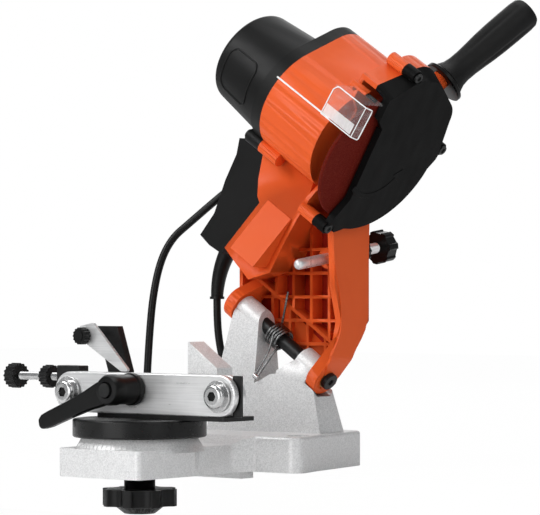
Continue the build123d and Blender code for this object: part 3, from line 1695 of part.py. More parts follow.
store_end = 2 * store_turns + 1 / 2 + store_finish
store_stations = [quarter / 4 for quarter in range(round(4 * store_end) + 1)]
store_in = (store_point(arc_step) - store_point(-arc_step)).normalized()
store_out = (store_point(store_end + arc_step) - store_point(store_end - arc_step)).normalized()
landing = store_point(0) - store_in * cord_diameter
plug_start = store_point(store_end) + store_out * cord_lead
route = [Vector(*point) for point in cord_route]
route += [landing - store_in * cord_approach, landing]
route_radii = radii_of(route)
print("cord radii", [round(radius, 1) for radius in route_radii])
with BuildPart() as power_cord:
    with BuildLine() as cord_line:
        FilletPolyline(*route, radius=route_radii)
    with BuildSketch(Plane(origin=route[0], z_dir=route[1] - route[0])):
        Circle(cord_radius)
    sweep(path=cord_line.wires()[0])
cord_length = cord_line.wires()[0].length
cord_section = pi * cord_radius**2
print("cord length", cord_length, "volume share", power_cord.part.volume / (cord_length * cord_section))
keep(power_cord, "power_cord")

with BuildPart() as cord_coil:
    with BuildLine() as coil_line:
        Line(landing, store_point(0))
        smooth_path(store_point, store_stations, arc_step)
        Line(store_point(store_end), plug_start)
    with BuildSketch(Plane(origin=landing, z_dir=store_in)):
        Circle(cord_radius)
    sweep(path=coil_line.wires()[0])
store_length = coil_line.wires()[0].length
print("coil length", store_length, "volume share", cord_coil.part.volume / (store_length * cord_section))
print("coil gap", least_gap(coil_line.wires()[0], cord_diameter, gap_samples, 4 * cord_diameter))
keep(cord_coil, "cord_coil")

plug_plane = Plane(origin=plug_start, x_dir=store_out.cross(Vector(0, 0, 1)), z_dir=store_out)
with BuildPart() as plug:
    with BuildSketch(plug_plane):
        RectangleRounded(plug_width, plug_height, plug_round)
    extrude(amount=plug_length)
keep(plug, "plug")

with BuildPart() as plug_pins:
    with BuildSketch(plug_plane.offset(plug_length)):
        with GridLocations(2 * plug_pin_half, plug_height, 2, 1):
            Circle(plug_pin_radius)
    extrude(amount=plug_pin_length)
keep(plug_pins, "plug_pins")
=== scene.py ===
"""Studio scene of a bench chain grinder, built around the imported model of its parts."""

import logging
import math
from dataclasses import dataclass
from enum import Enum
from typing import Iterable, Sequence

import bmesh
import bpy
from mathutils import Matrix, Vector


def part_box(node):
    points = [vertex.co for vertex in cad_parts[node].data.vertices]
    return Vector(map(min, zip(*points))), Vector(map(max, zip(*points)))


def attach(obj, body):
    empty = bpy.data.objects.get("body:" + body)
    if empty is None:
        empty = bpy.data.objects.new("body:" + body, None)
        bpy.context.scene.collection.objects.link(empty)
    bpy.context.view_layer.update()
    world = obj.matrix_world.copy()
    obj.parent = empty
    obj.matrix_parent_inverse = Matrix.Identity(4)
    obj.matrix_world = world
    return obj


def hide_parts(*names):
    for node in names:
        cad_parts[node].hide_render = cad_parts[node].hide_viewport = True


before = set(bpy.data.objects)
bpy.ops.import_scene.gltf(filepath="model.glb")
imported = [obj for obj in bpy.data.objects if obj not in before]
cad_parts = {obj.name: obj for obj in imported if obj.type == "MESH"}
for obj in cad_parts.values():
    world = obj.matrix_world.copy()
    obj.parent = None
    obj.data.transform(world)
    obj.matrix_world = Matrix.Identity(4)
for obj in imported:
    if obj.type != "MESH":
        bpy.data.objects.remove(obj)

LOG = logging.getLogger("grinder")
MM = 0.001
NODES: dict[str, bpy.types.Object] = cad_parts
Colour = tuple[float, float, float]
Point = tuple[float, float, float]
Pair = tuple[float, float]


# ---------------------------------------------------------------- working frames


def axes(origin: Sequence[float], x: Sequence[float], y: Sequence[float], z: Sequence[float]) -> Matrix:
    """Makes a working frame.

    Args:
        origin: where it stands, in millimetres of the row frame.
        x: direction of its first axis.
        y: direction of its second axis.
        z: direction of its third axis.

    Returns:
        The matrix that takes millimetres in the working frame to metres in the row frame.
    """
    turn = Matrix((x, y, z)).transposed().to_4x4()
    return Matrix.Scale(MM, 4) @ Matrix.Translation(Vector(origin)) @ turn


TILT = math.radians(34.0)
UP_HEAD = (math.sin(TILT), 0.0, math.cos(TILT))
ALONG_SPINDLE = (math.cos(TILT), 0.0, -math.sin(TILT))
BENCH = axes((0, 0, 0), (1, 0, 0), (0, 1, 0), (0, 0, 1))
HEAD = axes((0, 47, 102.8), (0, 1, 0), UP_HEAD, ALONG_SPINDLE)


def along(start: Sequence[float], way: Sequence[float], side: Sequence[float] = (0, 0, 1)) -> Matrix:
    """Makes a working frame whose third axis points along a part.

    Args:
        start: where the part starts, in millimetres of the row frame.
        way: direction of the part.
        side: direction that the frame's first axis leans to.

    Returns:
        The working frame.
    """
    z = Vector(way).normalized()
    lean = Vector(side) if abs(Vector(side).normalized().dot(z)) < 0.98 else Vector((0, 1, 0))
    x = (lean - z * lean.dot(z)).normalized()
    return axes(start, tuple(x), tuple(z.cross(x)), tuple(z))


def head(p: float, q: float, s: float) -> Point:
    """Gives a point of the tilted head, in millimetres of the row frame."""
    return tuple(HEAD @ Vector((p, q, s)) / MM)


# ---------------------------------------------------------------- finishes


class Signal:
    """One value in a material. Adding to it or multiplying it adds a Math node."""

    def __init__(self, recipe: "Recipe", socket: bpy.types.NodeSocket) -> None:
        """Wraps a socket of a recipe."""
        self.recipe = recipe
        self.socket = socket

    def maths(self, operation: str, first: "Signal | float", second: "Signal | float") -> "Signal":
        """Adds one Math node.

        Args:
            operation: the node's operation.
            first: its first value.
            second: its second value.

        Returns:
            The result.
        """
        return self.recipe.node("ShaderNodeMath", {"operation": operation}, {0: first, 1: second})

    def __add__(self, other: "Signal | float") -> "Signal":
        """Adds."""
        return self.maths("ADD", self, other)

    def __mul__(self, other: "Signal | float") -> "Signal":
        """Multiplies."""
        return self.maths("MULTIPLY", self, other)


class Recipe:
    """A material under construction, with a Principled shader at its end."""

    def __init__(self, name: str, roughness: float, metallic: float = 0.0, **fixed: float | Colour) -> None:
        """Starts a material.

        Args:
            name: its name.
            roughness: the even roughness, before any pattern.
            metallic: how metallic it is.
            fixed: other sockets of the shader, with spaces written as underscores.
        """
        self.material = bpy.data.materials.new(name)
        self.material.use_nodes = True
        self.tree = self.material.node_tree
        self.tree.nodes.clear()
        self.shader = self.tree.nodes.new("ShaderNodeBsdfPrincipled")
        self.output = self.tree.nodes.new("ShaderNodeOutputMaterial")
        self.tree.links.new(self.shader.outputs[0], self.output.inputs[0])
        self.shader.inputs["Roughness"].default_value = roughness
        self.shader.inputs["Metallic"].default_value = metallic
        for key, value in fixed.items():
            self.shader.inputs[key.replace("_", " ")].default_value = value
        self.place = self.node("ShaderNodeTexCoord", output="Object")

    def node(self, kind: str, settings: dict | None = None, sockets: dict | None = None,
             output: str | int = 0) -> Signal:
        """Adds a node.

        Args:
            kind: the node's type.
            settings: its properties; "stops" are a colour ramp's (place, colour) pairs.
            sockets: values or signals of its inputs.
            output: which of its outputs is wanted.

        Returns:
            That output.
        """
        made = self.tree.nodes.new(kind)
        for key, value in (settings or {}).items():
            if key != "stops":
                setattr(made, key, value)
                continue
            ramp = made.color_ramp.elements
            while len(ramp) < len(value):
                ramp.new(0.5)
            for element, (place, colour) in zip(ramp, value):
                element.position, element.color = place, (*colour, 1.0)
        for key, value in (sockets or {}).items():
            if isinstance(value, Signal):
                self.tree.links.new(value.socket, made.inputs[key])
            else:
                made.inputs[key].default_value = value
        return Signal(self, made.outputs[output])

    def stretched(self, scale: Sequence[float], turn: Sequence[float] = (0, 0, 0),
                  centre: Sequence[float] = (0, 0, 0)) -> Signal:
        """Gives the place on the piece, centred, turned and scaled.

        Args:
            scale: repeats per metre along each axis.
            turn: Euler angles of the pattern, in radians.
            centre: the point that becomes the pattern's middle, in metres.

        Returns:
            The vector.
        """
        centred = self.node("ShaderNodeVectorMath", {"operation": "SUBTRACT"}, {0: self.place, 1: tuple(centre)})
        return self.node("ShaderNodeMapping", {"vector_type": "TEXTURE"},
                         {"Vector": centred, "Rotation": tuple(turn), "Scale": tuple(1.0 / s for s in scale)})

    def noise(self, size: float, detail: float = 2.0, vector: Signal | None = None) -> Signal:
        """Adds a noise whose lumps have that size.

        Args:
            size: the lumps' size in millimetres, or 1000 for a vector that is scaled already.
            detail: octaves.
            vector: where it is read, or nothing for the place on the piece.

        Returns:
            The noise, from 0 to 1.
        """
        return self.node("ShaderNodeTexNoise", None,
                         {"Vector": vector or self.place, "Scale": 1.0 / (size * MM), "Detail": detail})

    def specks(self, size: float) -> Signal:
        """Adds cells of that size in millimetres, each with its own even value."""
        return self.node("ShaderNodeTexVoronoi", None, {"Vector": self.place, "Scale": 1.0 / (size * MM)}, "Color")

    def fade(self, value: Signal, low: float, high: float, start: float = 0.0, end: float = 1.0) -> Signal:
        """Spreads a value over another range.

        Args:
            value: what is spread.
            low: its value at the start.
            high: its value at the end.
            start: the result at low.
            end: the result at high.

        Returns:
            The result, kept within the range.
        """
        return self.node("ShaderNodeMapRange", {"clamp": True}, {0: value, 1: low, 2: high, 3: start, 4: end})

    def mixed(self, share: Signal, first: "Colour | Signal", second: "Colour | Signal") -> Signal:
        """Mixes two colours by a share."""
        ends = [c if isinstance(c, Signal) else (*c, 1.0) for c in (first, second)]
        return self.node("ShaderNodeMix", {"data_type": "RGBA"}, {0: share, 6: ends[0], 7: ends[1]}, 2)

    def feed(self, **signals: Signal) -> None:
        """Links signals to the shader's sockets, with spaces written as underscores."""
        for key, value in signals.items():
            self.tree.links.new(value.socket, self.shader.inputs[key.replace("_", " ")])

    def bump(self, height: Signal, depth: float, strength: float = 1.0) -> None:
        """Raises the surface by a pattern of that depth in millimetres."""
        self.feed(Normal=self.node("ShaderNodeBump", None,
                                   {"Strength": strength, "Distance": depth * MM, "Height": height}))


def grey(level: float) -> Colour:
    """Gives an even grey."""
    return (level, level, level)


@dataclass(frozen=True)
class MouldedPlastic:
    """A moulded plastic with a fine spark-eroded grain.

    Attributes:
        name: the material's name.
        colour: its colour.
        shade: the second tone, mixed in by large random clouds.
        roughness: how matt it is.
        grain: size of the grain in millimetres.
        depth: depth of the grain in millimetres.
        shine: how much it mirrors when seen straight on.
    """

    name: str
    colour: Colour
    shade: Colour
    roughness: float = 0.42
    grain: float = 0.7
    depth: float = 0.03
    shine: float = 0.35

    def make(self) -> bpy.types.Material:
        """Builds the material."""
        r = Recipe(self.name, self.roughness, Specular_IOR_Level=self.shine)
        cloud = r.noise(38, 3)
        grain = r.noise(self.grain, 2)
        rub = r.noise(1000, 3, r.stretched((14, 120, 40), (0.3, 0.5, 0.2)))
        r.feed(Base_Color=r.mixed(r.fade(cloud, 0.38, 0.72, 0.0, 0.22), self.colour, self.shade),
               Roughness=r.fade(rub, 0.3, 0.75, self.roughness - 0.05, self.roughness + 0.08))
        r.bump(grain, self.depth, 0.7)
        return r.material


@dataclass(frozen=True)
class CastMetal:
    """A sand-blasted aluminium casting with a silver coat that sparkles."""

    name: str
    colour: Colour
    shade: Colour
    metallic: float = 0.35
    roughness: float = 0.42

    def make(self) -> bpy.types.Material:
        """Builds the material."""
        r = Recipe(self.name, self.roughness, self.metallic)
        flakes = r.node("ShaderNodeRGBToBW", None, {0: r.specks(0.75)})
        lumps = r.noise(2.6, 4)
        tone = r.fade(flakes * 0.55 + r.noise(1.1, 2) * 0.45, 0.25, 0.75)
        r.feed(Base_Color=r.mixed(tone, self.shade, self.colour),
               Roughness=r.fade(flakes, 0.1, 0.9, self.roughness - 0.12, self.roughness + 0.16))
        r.bump(lumps * 0.7 + flakes * 0.3, 0.1, 0.55)
        return r.material


@dataclass(frozen=True)
class WorkedMetal:
    """A metal with the marks of its working along one direction.

    Attributes:
        name: the material's name.
        colour: the bright tone.
        shade: the tone in its marks.
        roughness: how matt it is.
        marks: repeats of the marks per metre along X, Y and Z.
        depth: depth of the marks in millimetres.
        metallic: how metallic it is.
        turn: Euler angles of the marks.
    """

    name: str
    colour: Colour
    shade: Colour
    roughness: float
    marks: Point = (18.0, 900.0, 900.0)
    depth: float = 0.02
    metallic: float = 1.0
    turn: Point = (0.0, 0.0, 0.0)

    def make(self) -> bpy.types.Material:
        """Builds the material."""
        r = Recipe(self.name, self.roughness, self.metallic)
        lines = r.noise(1000, 3, r.stretched(self.marks, self.turn))
        cloud = r.noise(16, 3)
        r.feed(Base_Color=r.mixed(r.fade(lines * 0.7 + cloud * 0.3, 0.3, 0.7), self.shade, self.colour),
               Roughness=r.fade(cloud * 0.5 + lines * 0.5, 0.3, 0.7, self.roughness - 0.06, self.roughness + 0.1))
        r.bump(lines, self.depth, 0.5)
        return r.material


@dataclass(frozen=True)
class TurnedFace:
    """A face turned on a lathe, with fine rings about an upright axis."""

    name: str
    colour: Colour
    shade: Colour
    roughness: float
    centre: Point
    pitch: float = 0.6
    metallic: float = 0.0

    def make(self) -> bpy.types.Material:
        """Builds the material."""
        r = Recipe(self.name, self.roughness, self.metallic, Specular_IOR_Level=0.25)
        spot = r.stretched((1000, 1000, 1000), (0, 0, 0), tuple(c * MM for c in self.centre))
        rings = r.node("ShaderNodeTexWave", {"wave_type": "RINGS", "rings_direction": "Z"},
                       {"Vector": spot, "Scale": 0.35 / self.pitch, "Distortion": 0.4})
        cloud = r.noise(9, 3)
        r.feed(Base_Color=r.mixed(r.fade(cloud, 0.35, 0.7), self.colour, self.shade),
               Roughness=r.fade(cloud * 0.6 + rings * 0.4, 0.2, 0.8, self.roughness - 0.08, self.roughness + 0.1))
        r.bump(rings, 0.012, 0.6)
        return r.material


@dataclass(frozen=True)
class Abrasive:
    """Vitrified grit in a coloured bond."""

    name: str
    colour: Colour
    grit: Colour

    def make(self) -> bpy.types.Material:
        """Builds the material."""
        r = Recipe(self.name, 0.85, Specular_IOR_Level=0.1)
        cells = r.node("ShaderNodeRGBToBW", None, {0: r.specks(0.5)})
        r.feed(Base_Color=r.mixed(r.fade(cells, 0.45, 0.95), self.colour, self.grit))
        r.bump(cells * 0.6 + r.noise(0.9, 3) * 0.4, 0.25, 0.9)
        return r.material


@dataclass(frozen=True)
class ClearPlastic:
    """A thin clear sheet that is seen by its gloss and a few scratches."""

    name: str
    tint: Colour
    haze: float = 0.16

    def make(self) -> bpy.types.Material:
        """Builds the material."""
        r = Recipe(self.name, 0.08)
        scratch = r.noise(1000, 2, r.stretched((30, 700, 260), (0.4, 0.2, 0.9)))
        r.feed(Base_Color=r.mixed(r.fade(scratch, 0.55, 0.8), self.tint, grey(0.95)),
               Alpha=r.fade(scratch, 0.45, 0.85, self.haze, self.haze + 0.12),
               Roughness=r.fade(scratch, 0.5, 0.8, 0.05, 0.2))
        r.bump(r.noise(22, 1), 0.02, 0.3)
        return r.material


@dataclass(frozen=True)
class Winding:
    """Enamelled copper wire, wound in close turns."""

    name: str
    colour: Colour
    gap: Colour

    def make(self) -> bpy.types.Material:
        """Builds the material."""
        r = Recipe(self.name, 0.3, 0.8, Coat_Weight=0.5)
        turns = r.node("ShaderNodeTexWave", None, {"Vector": r.place, "Scale": 260.0, "Distortion": 0.6})
        r.feed(Base_Color=r.mixed(turns, self.gap, self.colour))
        r.bump(turns, 0.15)
        return r.material


class Finish(Enum):
    """The finishes of the grinder, each under its record slot or its place."""

    ORANGE = MouldedPlastic("moulded_orange", (0.78, 0.11, 0.02), (0.62, 0.06, 0.01), 0.4, shine=0.2)
    # Painted shade: a darker copy of the orange for the deep ribbed recess.
    ORANGE_DEEP = MouldedPlastic("orange_painted_shade", (0.3, 0.012, 0.003), (0.18, 0.006, 0.002), 0.5, shine=0.1)
    BLACK = MouldedPlastic("moulded_black", grey(0.006), grey(0.01), 0.46, 0.9, 0.04, 0.16)
    BLACK_GLOSS = MouldedPlastic("glossy_black", grey(0.005), grey(0.008), 0.32, 1.3, 0.02, 0.2)
    COVER = MouldedPlastic("cover_black", grey(0.004), grey(0.006), 0.5, 0.9, 0.04, 0.06)
    GRIP = MouldedPlastic("handle_grip", grey(0.008), grey(0.014), 0.5, 0.6, 0.04, 0.18)
    CAST = CastMetal("sand_casting", grey(0.84), grey(0.62), 0.3, 0.44)
    BRUSHED = WorkedMetal("brushed_plate", grey(0.86), grey(0.68), 0.3, metallic=0.7)
    ZINC = WorkedMetal("bright_zinc", grey(0.72), grey(0.5), 0.22, (400, 400, 400), 0.01)
    BLACK_STEEL = WorkedMetal("blackened_steel", grey(0.02), grey(0.01), 0.34, (300, 300, 300), 0.015, 0.5)
    SPRING = WorkedMetal("spring_wire", grey(0.3), grey(0.12), 0.24, (250, 250, 250), 0.01)
    ROD = WorkedMetal("rod_steel", grey(0.86), grey(0.7), 0.3, (600, 600, 30), 0.01, 0.6)
    MILLED = WorkedMetal("milled_face", grey(0.74), grey(0.55), 0.33, (40, 700, 700), 0.02)
    DISC = TurnedFace("turned_black", grey(0.005), grey(0.009), 0.3, (0, -97, 40.3))
    # The wheel's red bond is darkened by painted shade, for the shadow of the guard.
    GRIT = Abrasive("red_grit_and_painted_shade", (0.11, 0.006, 0.003), (0.17, 0.02, 0.01))
    CLEAR = ClearPlastic("clear_sheet", (0.97, 0.98, 0.98), 0.04)
    # Painted highlight: a whiter, hazier sheet for the glare on the visor's front.
    GLARE = ClearPlastic("painted_sheet_glare", (1.0, 1.0, 1.0), 0.5)
    # Painted highlight: an opaque light grey for the bright edges of the clear sheet.
    CLEAR_EDGE = MouldedPlastic("clear_edge", grey(0.86), grey(0.72), 0.2)
    CORE = WorkedMetal("laminated_core", grey(0.3), grey(0.16), 0.45, (1400, 1400, 1400), 0.03)
    COPPER = Winding("enamelled_copper", (0.75, 0.26, 0.09), (0.2, 0.05, 0.02))
    BRONZE = WorkedMetal("sintered_bronze", (0.5, 0.3, 0.12), (0.36, 0.2, 0.08), 0.4, (300, 300, 300))
    CARBON = WorkedMetal("carbon_brush", grey(0.03), grey(0.015), 0.6, (500, 500, 500), 0.02, 0.1)
    SHEATH = MouldedPlastic("lead_sheath", grey(0.006), grey(0.01), 0.34, 1.6, 0.02, 0.2)
    BRASS = WorkedMetal("brass_pin", (0.75, 0.5, 0.2), (0.6, 0.38, 0.14), 0.25, (300, 300, 300), 0.01)

    @property
    def material(self) -> bpy.types.Material:
        """The finish's material, built at its first use."""
        return bpy.data.materials.get(self.value.name) or self.value.make()


SLOT_FINISH = {"orange_shell": Finish.ORANGE, "black_shell": Finish.BLACK, "black_gloss": Finish.BLACK_GLOSS,
               "cast_aluminium": Finish.CAST, "steel_plate": Finish.BRUSHED, "zinc_steel": Finish.ZINC,
               "black_steel": Finish.BLACK_STEEL, "spring_steel": Finish.SPRING,
               "milled_aluminium": Finish.MILLED, "clear_plastic": Finish.CLEAR, "red_abrasive": Finish.GRIT,
               "core_steel": Finish.CORE, "winding_copper": Finish.COPPER, "bush_bronze": Finish.BRONZE,
               "carbon": Finish.CARBON, "cord_black": Finish.SHEATH, "pin_brass": Finish.BRASS}


# ---------------------------------------------------------------- pieces


def link(name: str, data: bpy.types.ID) -> bpy.types.Object:
    """Adds an object with that data to the scene."""
    made = bpy.data.objects.new(name, data)
    bpy.context.scene.collection.objects.link(made)
    return made


class Piece:
    """A mesh under construction, in millimetres of its own working frame."""

    def __init__(self, name: str, finish: Finish, place: Matrix = BENCH) -> None:
        """Starts an empty piece.

        Args:
            name: its name.
            finish: the finish that it takes.
            place: its working frame.
        """
        self.name = name
        self.finishes = [finish]
        self.place = place
        self.bm = bmesh.new()

    def lathe(self, profile: Iterable[Pair], steps: int = 64) -> "Piece":
        """Turns a profile about the frame's third axis.

        Args:
            profile: pairs of radius and height.
            steps: facets around.

        Returns:
            The piece.
        """
        line = [self.bm.verts.new((r, 0, z)) for r, z in profile]
        edges = [self.bm.edges.new(pair) for pair in zip(line, line[1:])]
        bmesh.ops.spin(self.bm, geom=line + edges, cent=(0, 0, 0), axis=(0, 0, 1), angle=math.tau,
                       steps=steps, use_merge=True)
        return self

    def prism(self, outline: Sequence[Pair], low: float, high: float) -> "Piece":
        """Raises an outline along the frame's third axis.

        Args:
            outline: its corners.
            low: where it starts.
            high: where it ends.

        Returns:
            The piece.
        """
        face = self.bm.faces.new([self.bm.verts.new((x, y, low)) for x, y in outline])
        raised = bmesh.ops.extrude_face_region(self.bm, geom=[face], use_keep_orig=True)["geom"]
        top = [v for v in raised if isinstance(v, bmesh.types.BMVert)]
        bmesh.ops.translate(self.bm, verts=top, vec=(0, 0, high - low))
        return self

    def block(self, low: Point, high: Point) -> "Piece":
        """Adds a box between two corners."""
        (x0, y0, z0), (x1, y1, z1) = low, high
        return self.prism([(x0, y0), (x1, y0), (x1, y1), (x0, y1)], z0, z1)

    def mend(self) -> None:
        """Merges doubled corners, which closes poles, and points the faces outwards."""
        bmesh.ops.remove_doubles(self.bm, verts=self.bm.verts, dist=0.002)
        bmesh.ops.recalc_face_normals(self.bm, faces=self.bm.faces)

    def soften(self, width: float, steps: int = 2, sharp: float = 32.0) -> "Piece":
        """Rounds the piece's sharp edges.

        Args:
            width: how far the rounding reaches, in millimetres.
            steps: segments of the rounding.
            sharp: the least angle of an edge that is rounded, in degrees.

        Returns:
            The piece.
        """
        self.mend()
        limit = math.radians(sharp)
        edges = [e for e in self.bm.edges if len(e.link_faces) == 2 and e.calc_face_angle(0) > limit
                 and e.calc_length() > 1.2 * width]
        if edges:
            bmesh.ops.bevel(self.bm, geom=edges, offset=width, affect="EDGES", segments=steps, profile=0.5,
                            material=-1, clamp_overlap=True)
        return self

    def mesh(self, materials: Iterable[bpy.types.Material]) -> bpy.types.Mesh:
        """Turns the piece into a mesh, in metres of the row frame.

        Args:
            materials: its materials, in the order of its faces' material numbers.

        Returns:
            The mesh.
        """
        self.mend()
        bmesh.ops.transform(self.bm, matrix=self.place, verts=self.bm.verts)
        mesh = bpy.data.meshes.new(self.name)
        self.bm.to_mesh(mesh)
        self.bm.free()
        for material in materials:
            mesh.materials.append(material)
        return mesh

    def finish(self, body: str, slot: str, replaces: Sequence[str] = (), smooth: float = 35.0) -> bpy.types.Object:
        """Sets the piece into the scene.

        Args:
            body: the body that it rides on.
            slot: the record slot of its finish; not used.
            replaces: nodes that it stands for.
            smooth: the angle up to which edges are shaded smooth, in degrees.

        Returns:
            The object.
        """
        mesh = self.mesh([finish.material for finish in self.finishes])
        mesh.shade_smooth()
        mesh.set_sharp_from_angle(angle=math.radians(smooth))
        made = link(self.name, mesh)
        even = made.modifiers.new("even_shading", "WEIGHTED_NORMAL")
        even.mode, even.keep_sharp = "FACE_AREA_WITH_ANGLE", True
        return settle(made, body, replaces)


def settle(piece: bpy.types.Object, body: str, replaces: Sequence[str] = ()) -> bpy.types.Object:
    """Makes a piece ride on its body and reports it.

    Args:
        piece: the finished object.
        body: the body that it rides on.
        replaces: nodes that it stands for.

    Returns:
        The object.
    """
    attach(piece, body)
    if replaces:
        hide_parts(*replaces)
    LOG.info("%s rides on %s", piece.name, body)
    return piece


class NodeCopy(Piece):
    """A piece that starts as a merged copy of a node's mesh."""

    def __init__(self, node: str, name: str, finish: Finish) -> None:
        """Copies a node, merges its loose triangles and joins those that lie flat.

        Args:
            node: the node.
            name: the piece's name.
            finish: its finish.
        """
        super().__init__(name, finish)
        self.node = node
        self.bm.from_mesh(NODES[node].data)
        bmesh.ops.transform(self.bm, matrix=Matrix.Scale(1 / MM, 4), verts=self.bm.verts)
        bmesh.ops.remove_doubles(self.bm, verts=self.bm.verts, dist=0.004)
        bmesh.ops.dissolve_limit(self.bm, angle_limit=math.radians(0.2), verts=self.bm.verts, edges=self.bm.edges)

    def mend(self) -> None:
        """Leaves the faces as they are, because they already point outwards."""


def soft_copy(node: str, body: str, slot: str, finish: Finish, width: float, steps: int = 2,
              smooth: float = 38.0) -> bpy.types.Object:
    """Replaces a node with its own shape, its sharp edges rounded.

    Args:
        node: the node.
        body: the body that it rides on.
        slot: the record slot of its finish.
        finish: its finish.
        width: reach of the rounding in millimetres.
        steps: segments of the rounding.
        smooth: the angle up to which edges are shaded smooth.

    Returns:
        The piece.
    """
    copy = NodeCopy(node, f"{node}_piece", finish)
    copy.soften(width, steps)
    return copy.finish(body, slot, (node,), smooth)


def bend(name: str, points: Sequence[Sequence[float]], radius: float, finish: Finish, order: int = 3,
         rings: int = 3) -> bpy.types.Object:
    """Bends a round tube through points.

    Args:
        name: its name.
        points: the points, in millimetres of the row frame.
        radius: its radius in millimetres.
        finish: its finish.
        order: 3 for smooth bends, 2 for straight runs.
        rings: how finely it is rounded.

    Returns:
        The tube.
    """
    curve = bpy.data.curves.new(name, "CURVE")
    curve.dimensions = "3D"
    spline = curve.splines.new("NURBS")
    spline.points.add(len(points) - 1)
    for point, place in zip(spline.points, points):
        point.co = (*(Vector(place) * MM), 1.0)
    spline.order_u = order
    spline.use_endpoint_u = True
    spline.resolution_u = 6
    curve.bevel_depth = radius * MM
    curve.bevel_resolution = rings
    curve.use_fill_caps = True
    curve.materials.append(finish.material)
    return link(name, curve)


def wire(name: str, points: Sequence[Sequence[float]], radius: float, finish: Finish, body: str,
         replaces: Sequence[str] = (), smooth: bool = True) -> bpy.types.Object:
    """Bends a round wire and makes it ride on a body.

    Args:
        name: its name.
        points: the points, in millimetres of the row frame.
        radius: its radius in millimetres.
        finish: its finish.
        body: the body that it rides on.
        replaces: nodes that it stands for.
        smooth: whether it bends smoothly or lies in straight runs.

    Returns:
        The piece.
    """
    return settle(bend(name, points, radius, finish, 3 if smooth else 2), body, replaces)


def knob_outline(radius: float, inner: float, count: int) -> list[Pair]:
    """Gives the outline of a ribbed knob, two corners to a rib and two to a groove."""
    step = math.tau / count
    shares = ((-0.3, inner), (-0.16, radius), (0.16, radius), (0.3, inner))
    return [(r * math.cos((i + share) * step), r * math.sin((i + share) * step))
            for i in range(count) for share, r in shares]


def thread_profile(radius: float, low: float, high: float, pitch: float, depth: float) -> list[Pair]:
    """Gives the profile of a threaded bolt, from its tip to its foot."""
    line = [(0.0, low), (radius - depth, low)]
    height = low + pitch / 2
    while height < high - pitch:
        line += [(radius, height), (radius - depth, height + pitch / 2)]
        height += pitch
    return line + [(radius - depth, high), (0.0, high)]


def rod_profile(radius: float, length: float) -> list[Pair]:
    """Gives the profile of a plain rod that starts at the frame's origin."""
    return [(0.0, 0.0), (radius, 0.0), (radius, length), (0.0, length)]


@dataclass
class BaseCasting:
    """The silver casting with its hinge ears, the scale under the table and the return spring."""

    edge: float = 1.5
    seat: Pair = (0.0, -97.0)
    tick_reach: Pair = (42.4, 45.6)
    tick_height: Pair = (24.2, 19.4)
    tick_lengths: Pair = (5.4, 3.2)
    tick_width: float = 0.7
    swing: int = 35
    spring_radius: float = 8.6
    wire_radius: float = 0.9

    def casting(self) -> None:
        """Rounds the casting's edges, which are as-cast."""
        soft_copy("base_casting", "base", "cast_aluminium", Finish.CAST, self.edge, 3)
        for node, body in (("hinge_screws", "base"), ("pivot_stud", "turntable")):
            soft_copy(node, body, "black_steel", Finish.BLACK_STEEL, 0.5)

    def scale(self) -> None:
        """Raises the degree marks on the seat's sloping face, every tenth degree a long one."""
        ticks = Piece("seat_scale", Finish.CAST)
        lean = math.atan2(self.tick_height[0] - self.tick_height[1], self.tick_reach[1] - self.tick_reach[0])
        for angle in range(-self.swing, self.swing + 1, 5):
            block = bmesh.ops.create_cube(ticks.bm, size=1.0)["verts"]
            length = self.tick_lengths[0] if angle % 10 == 0 else self.tick_lengths[1]
            bmesh.ops.scale(ticks.bm, vec=(self.tick_width, length, self.tick_width), verts=block)
            middle = Vector((0, -sum(self.tick_reach) / 2, sum(self.tick_height) / 2))
            turn = Matrix.Rotation(math.radians(angle), 4, "Z") @ Matrix.Translation(middle)
            place = Matrix.Translation((*self.seat, 0)) @ turn @ Matrix.Rotation(lean, 4, "X")
            bmesh.ops.transform(ticks.bm, matrix=place, verts=block)
        ticks.soften(0.12, 1).finish("base", "cast_aluminium")

    def spring(self) -> None:
        """Winds the double return spring with its two lower legs and the arm that lifts the head."""
        turns, per_turn, start, end = 5.1, 14, 5.9, 18.4
        coil = []
        for i in range(int(turns * per_turn) + 1):
            share = i / (turns * per_turn)
            angle = -math.tau * turns * share
            coil.append(head(self.spring_radius * math.cos(angle), self.spring_radius * math.sin(angle),
                             start + (end - start) * share))
        foot = head(-17, -31, 22.6)
        leg = [head(-6.5, -5.5, 19.6), head(-9.5, -12, 20.4), foot]
        wire("return_spring_coil", coil + leg, self.wire_radius, Finish.SPRING, "base",
             ("return_spring",))
        second = [head(-8.4, 1.5, 12.6), head(-9.6, -5.5, 15.5), head(-11.2, -13, 17.8), head(-17, -31, 20.2)]
        wire("return_spring_leg", second, self.wire_radius, Finish.SPRING, "base")
        clip = Piece("spring_clip", Finish.ZINC, along(head(-16.4, -29, 19.2), ALONG_SPINDLE))
        clip.lathe(rod_profile(1.7, 4.6), 16).soften(0.3).finish("base", "zinc_steel")
        root = Vector(head(self.spring_radius, 0, 5.9))
        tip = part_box("spring_arm")
        top = Vector((tip[1].x, tip[0].y, tip[1].z)) / MM
        wire("spring_arm_wire", [tuple(root), tuple(root.lerp(top, 0.35)), tuple(top)], self.wire_radius,
             Finish.SPRING, "head", ("spring_arm",))

    def build(self) -> None:
        """Builds the base."""
        self.casting()
        self.scale()
        self.spring()


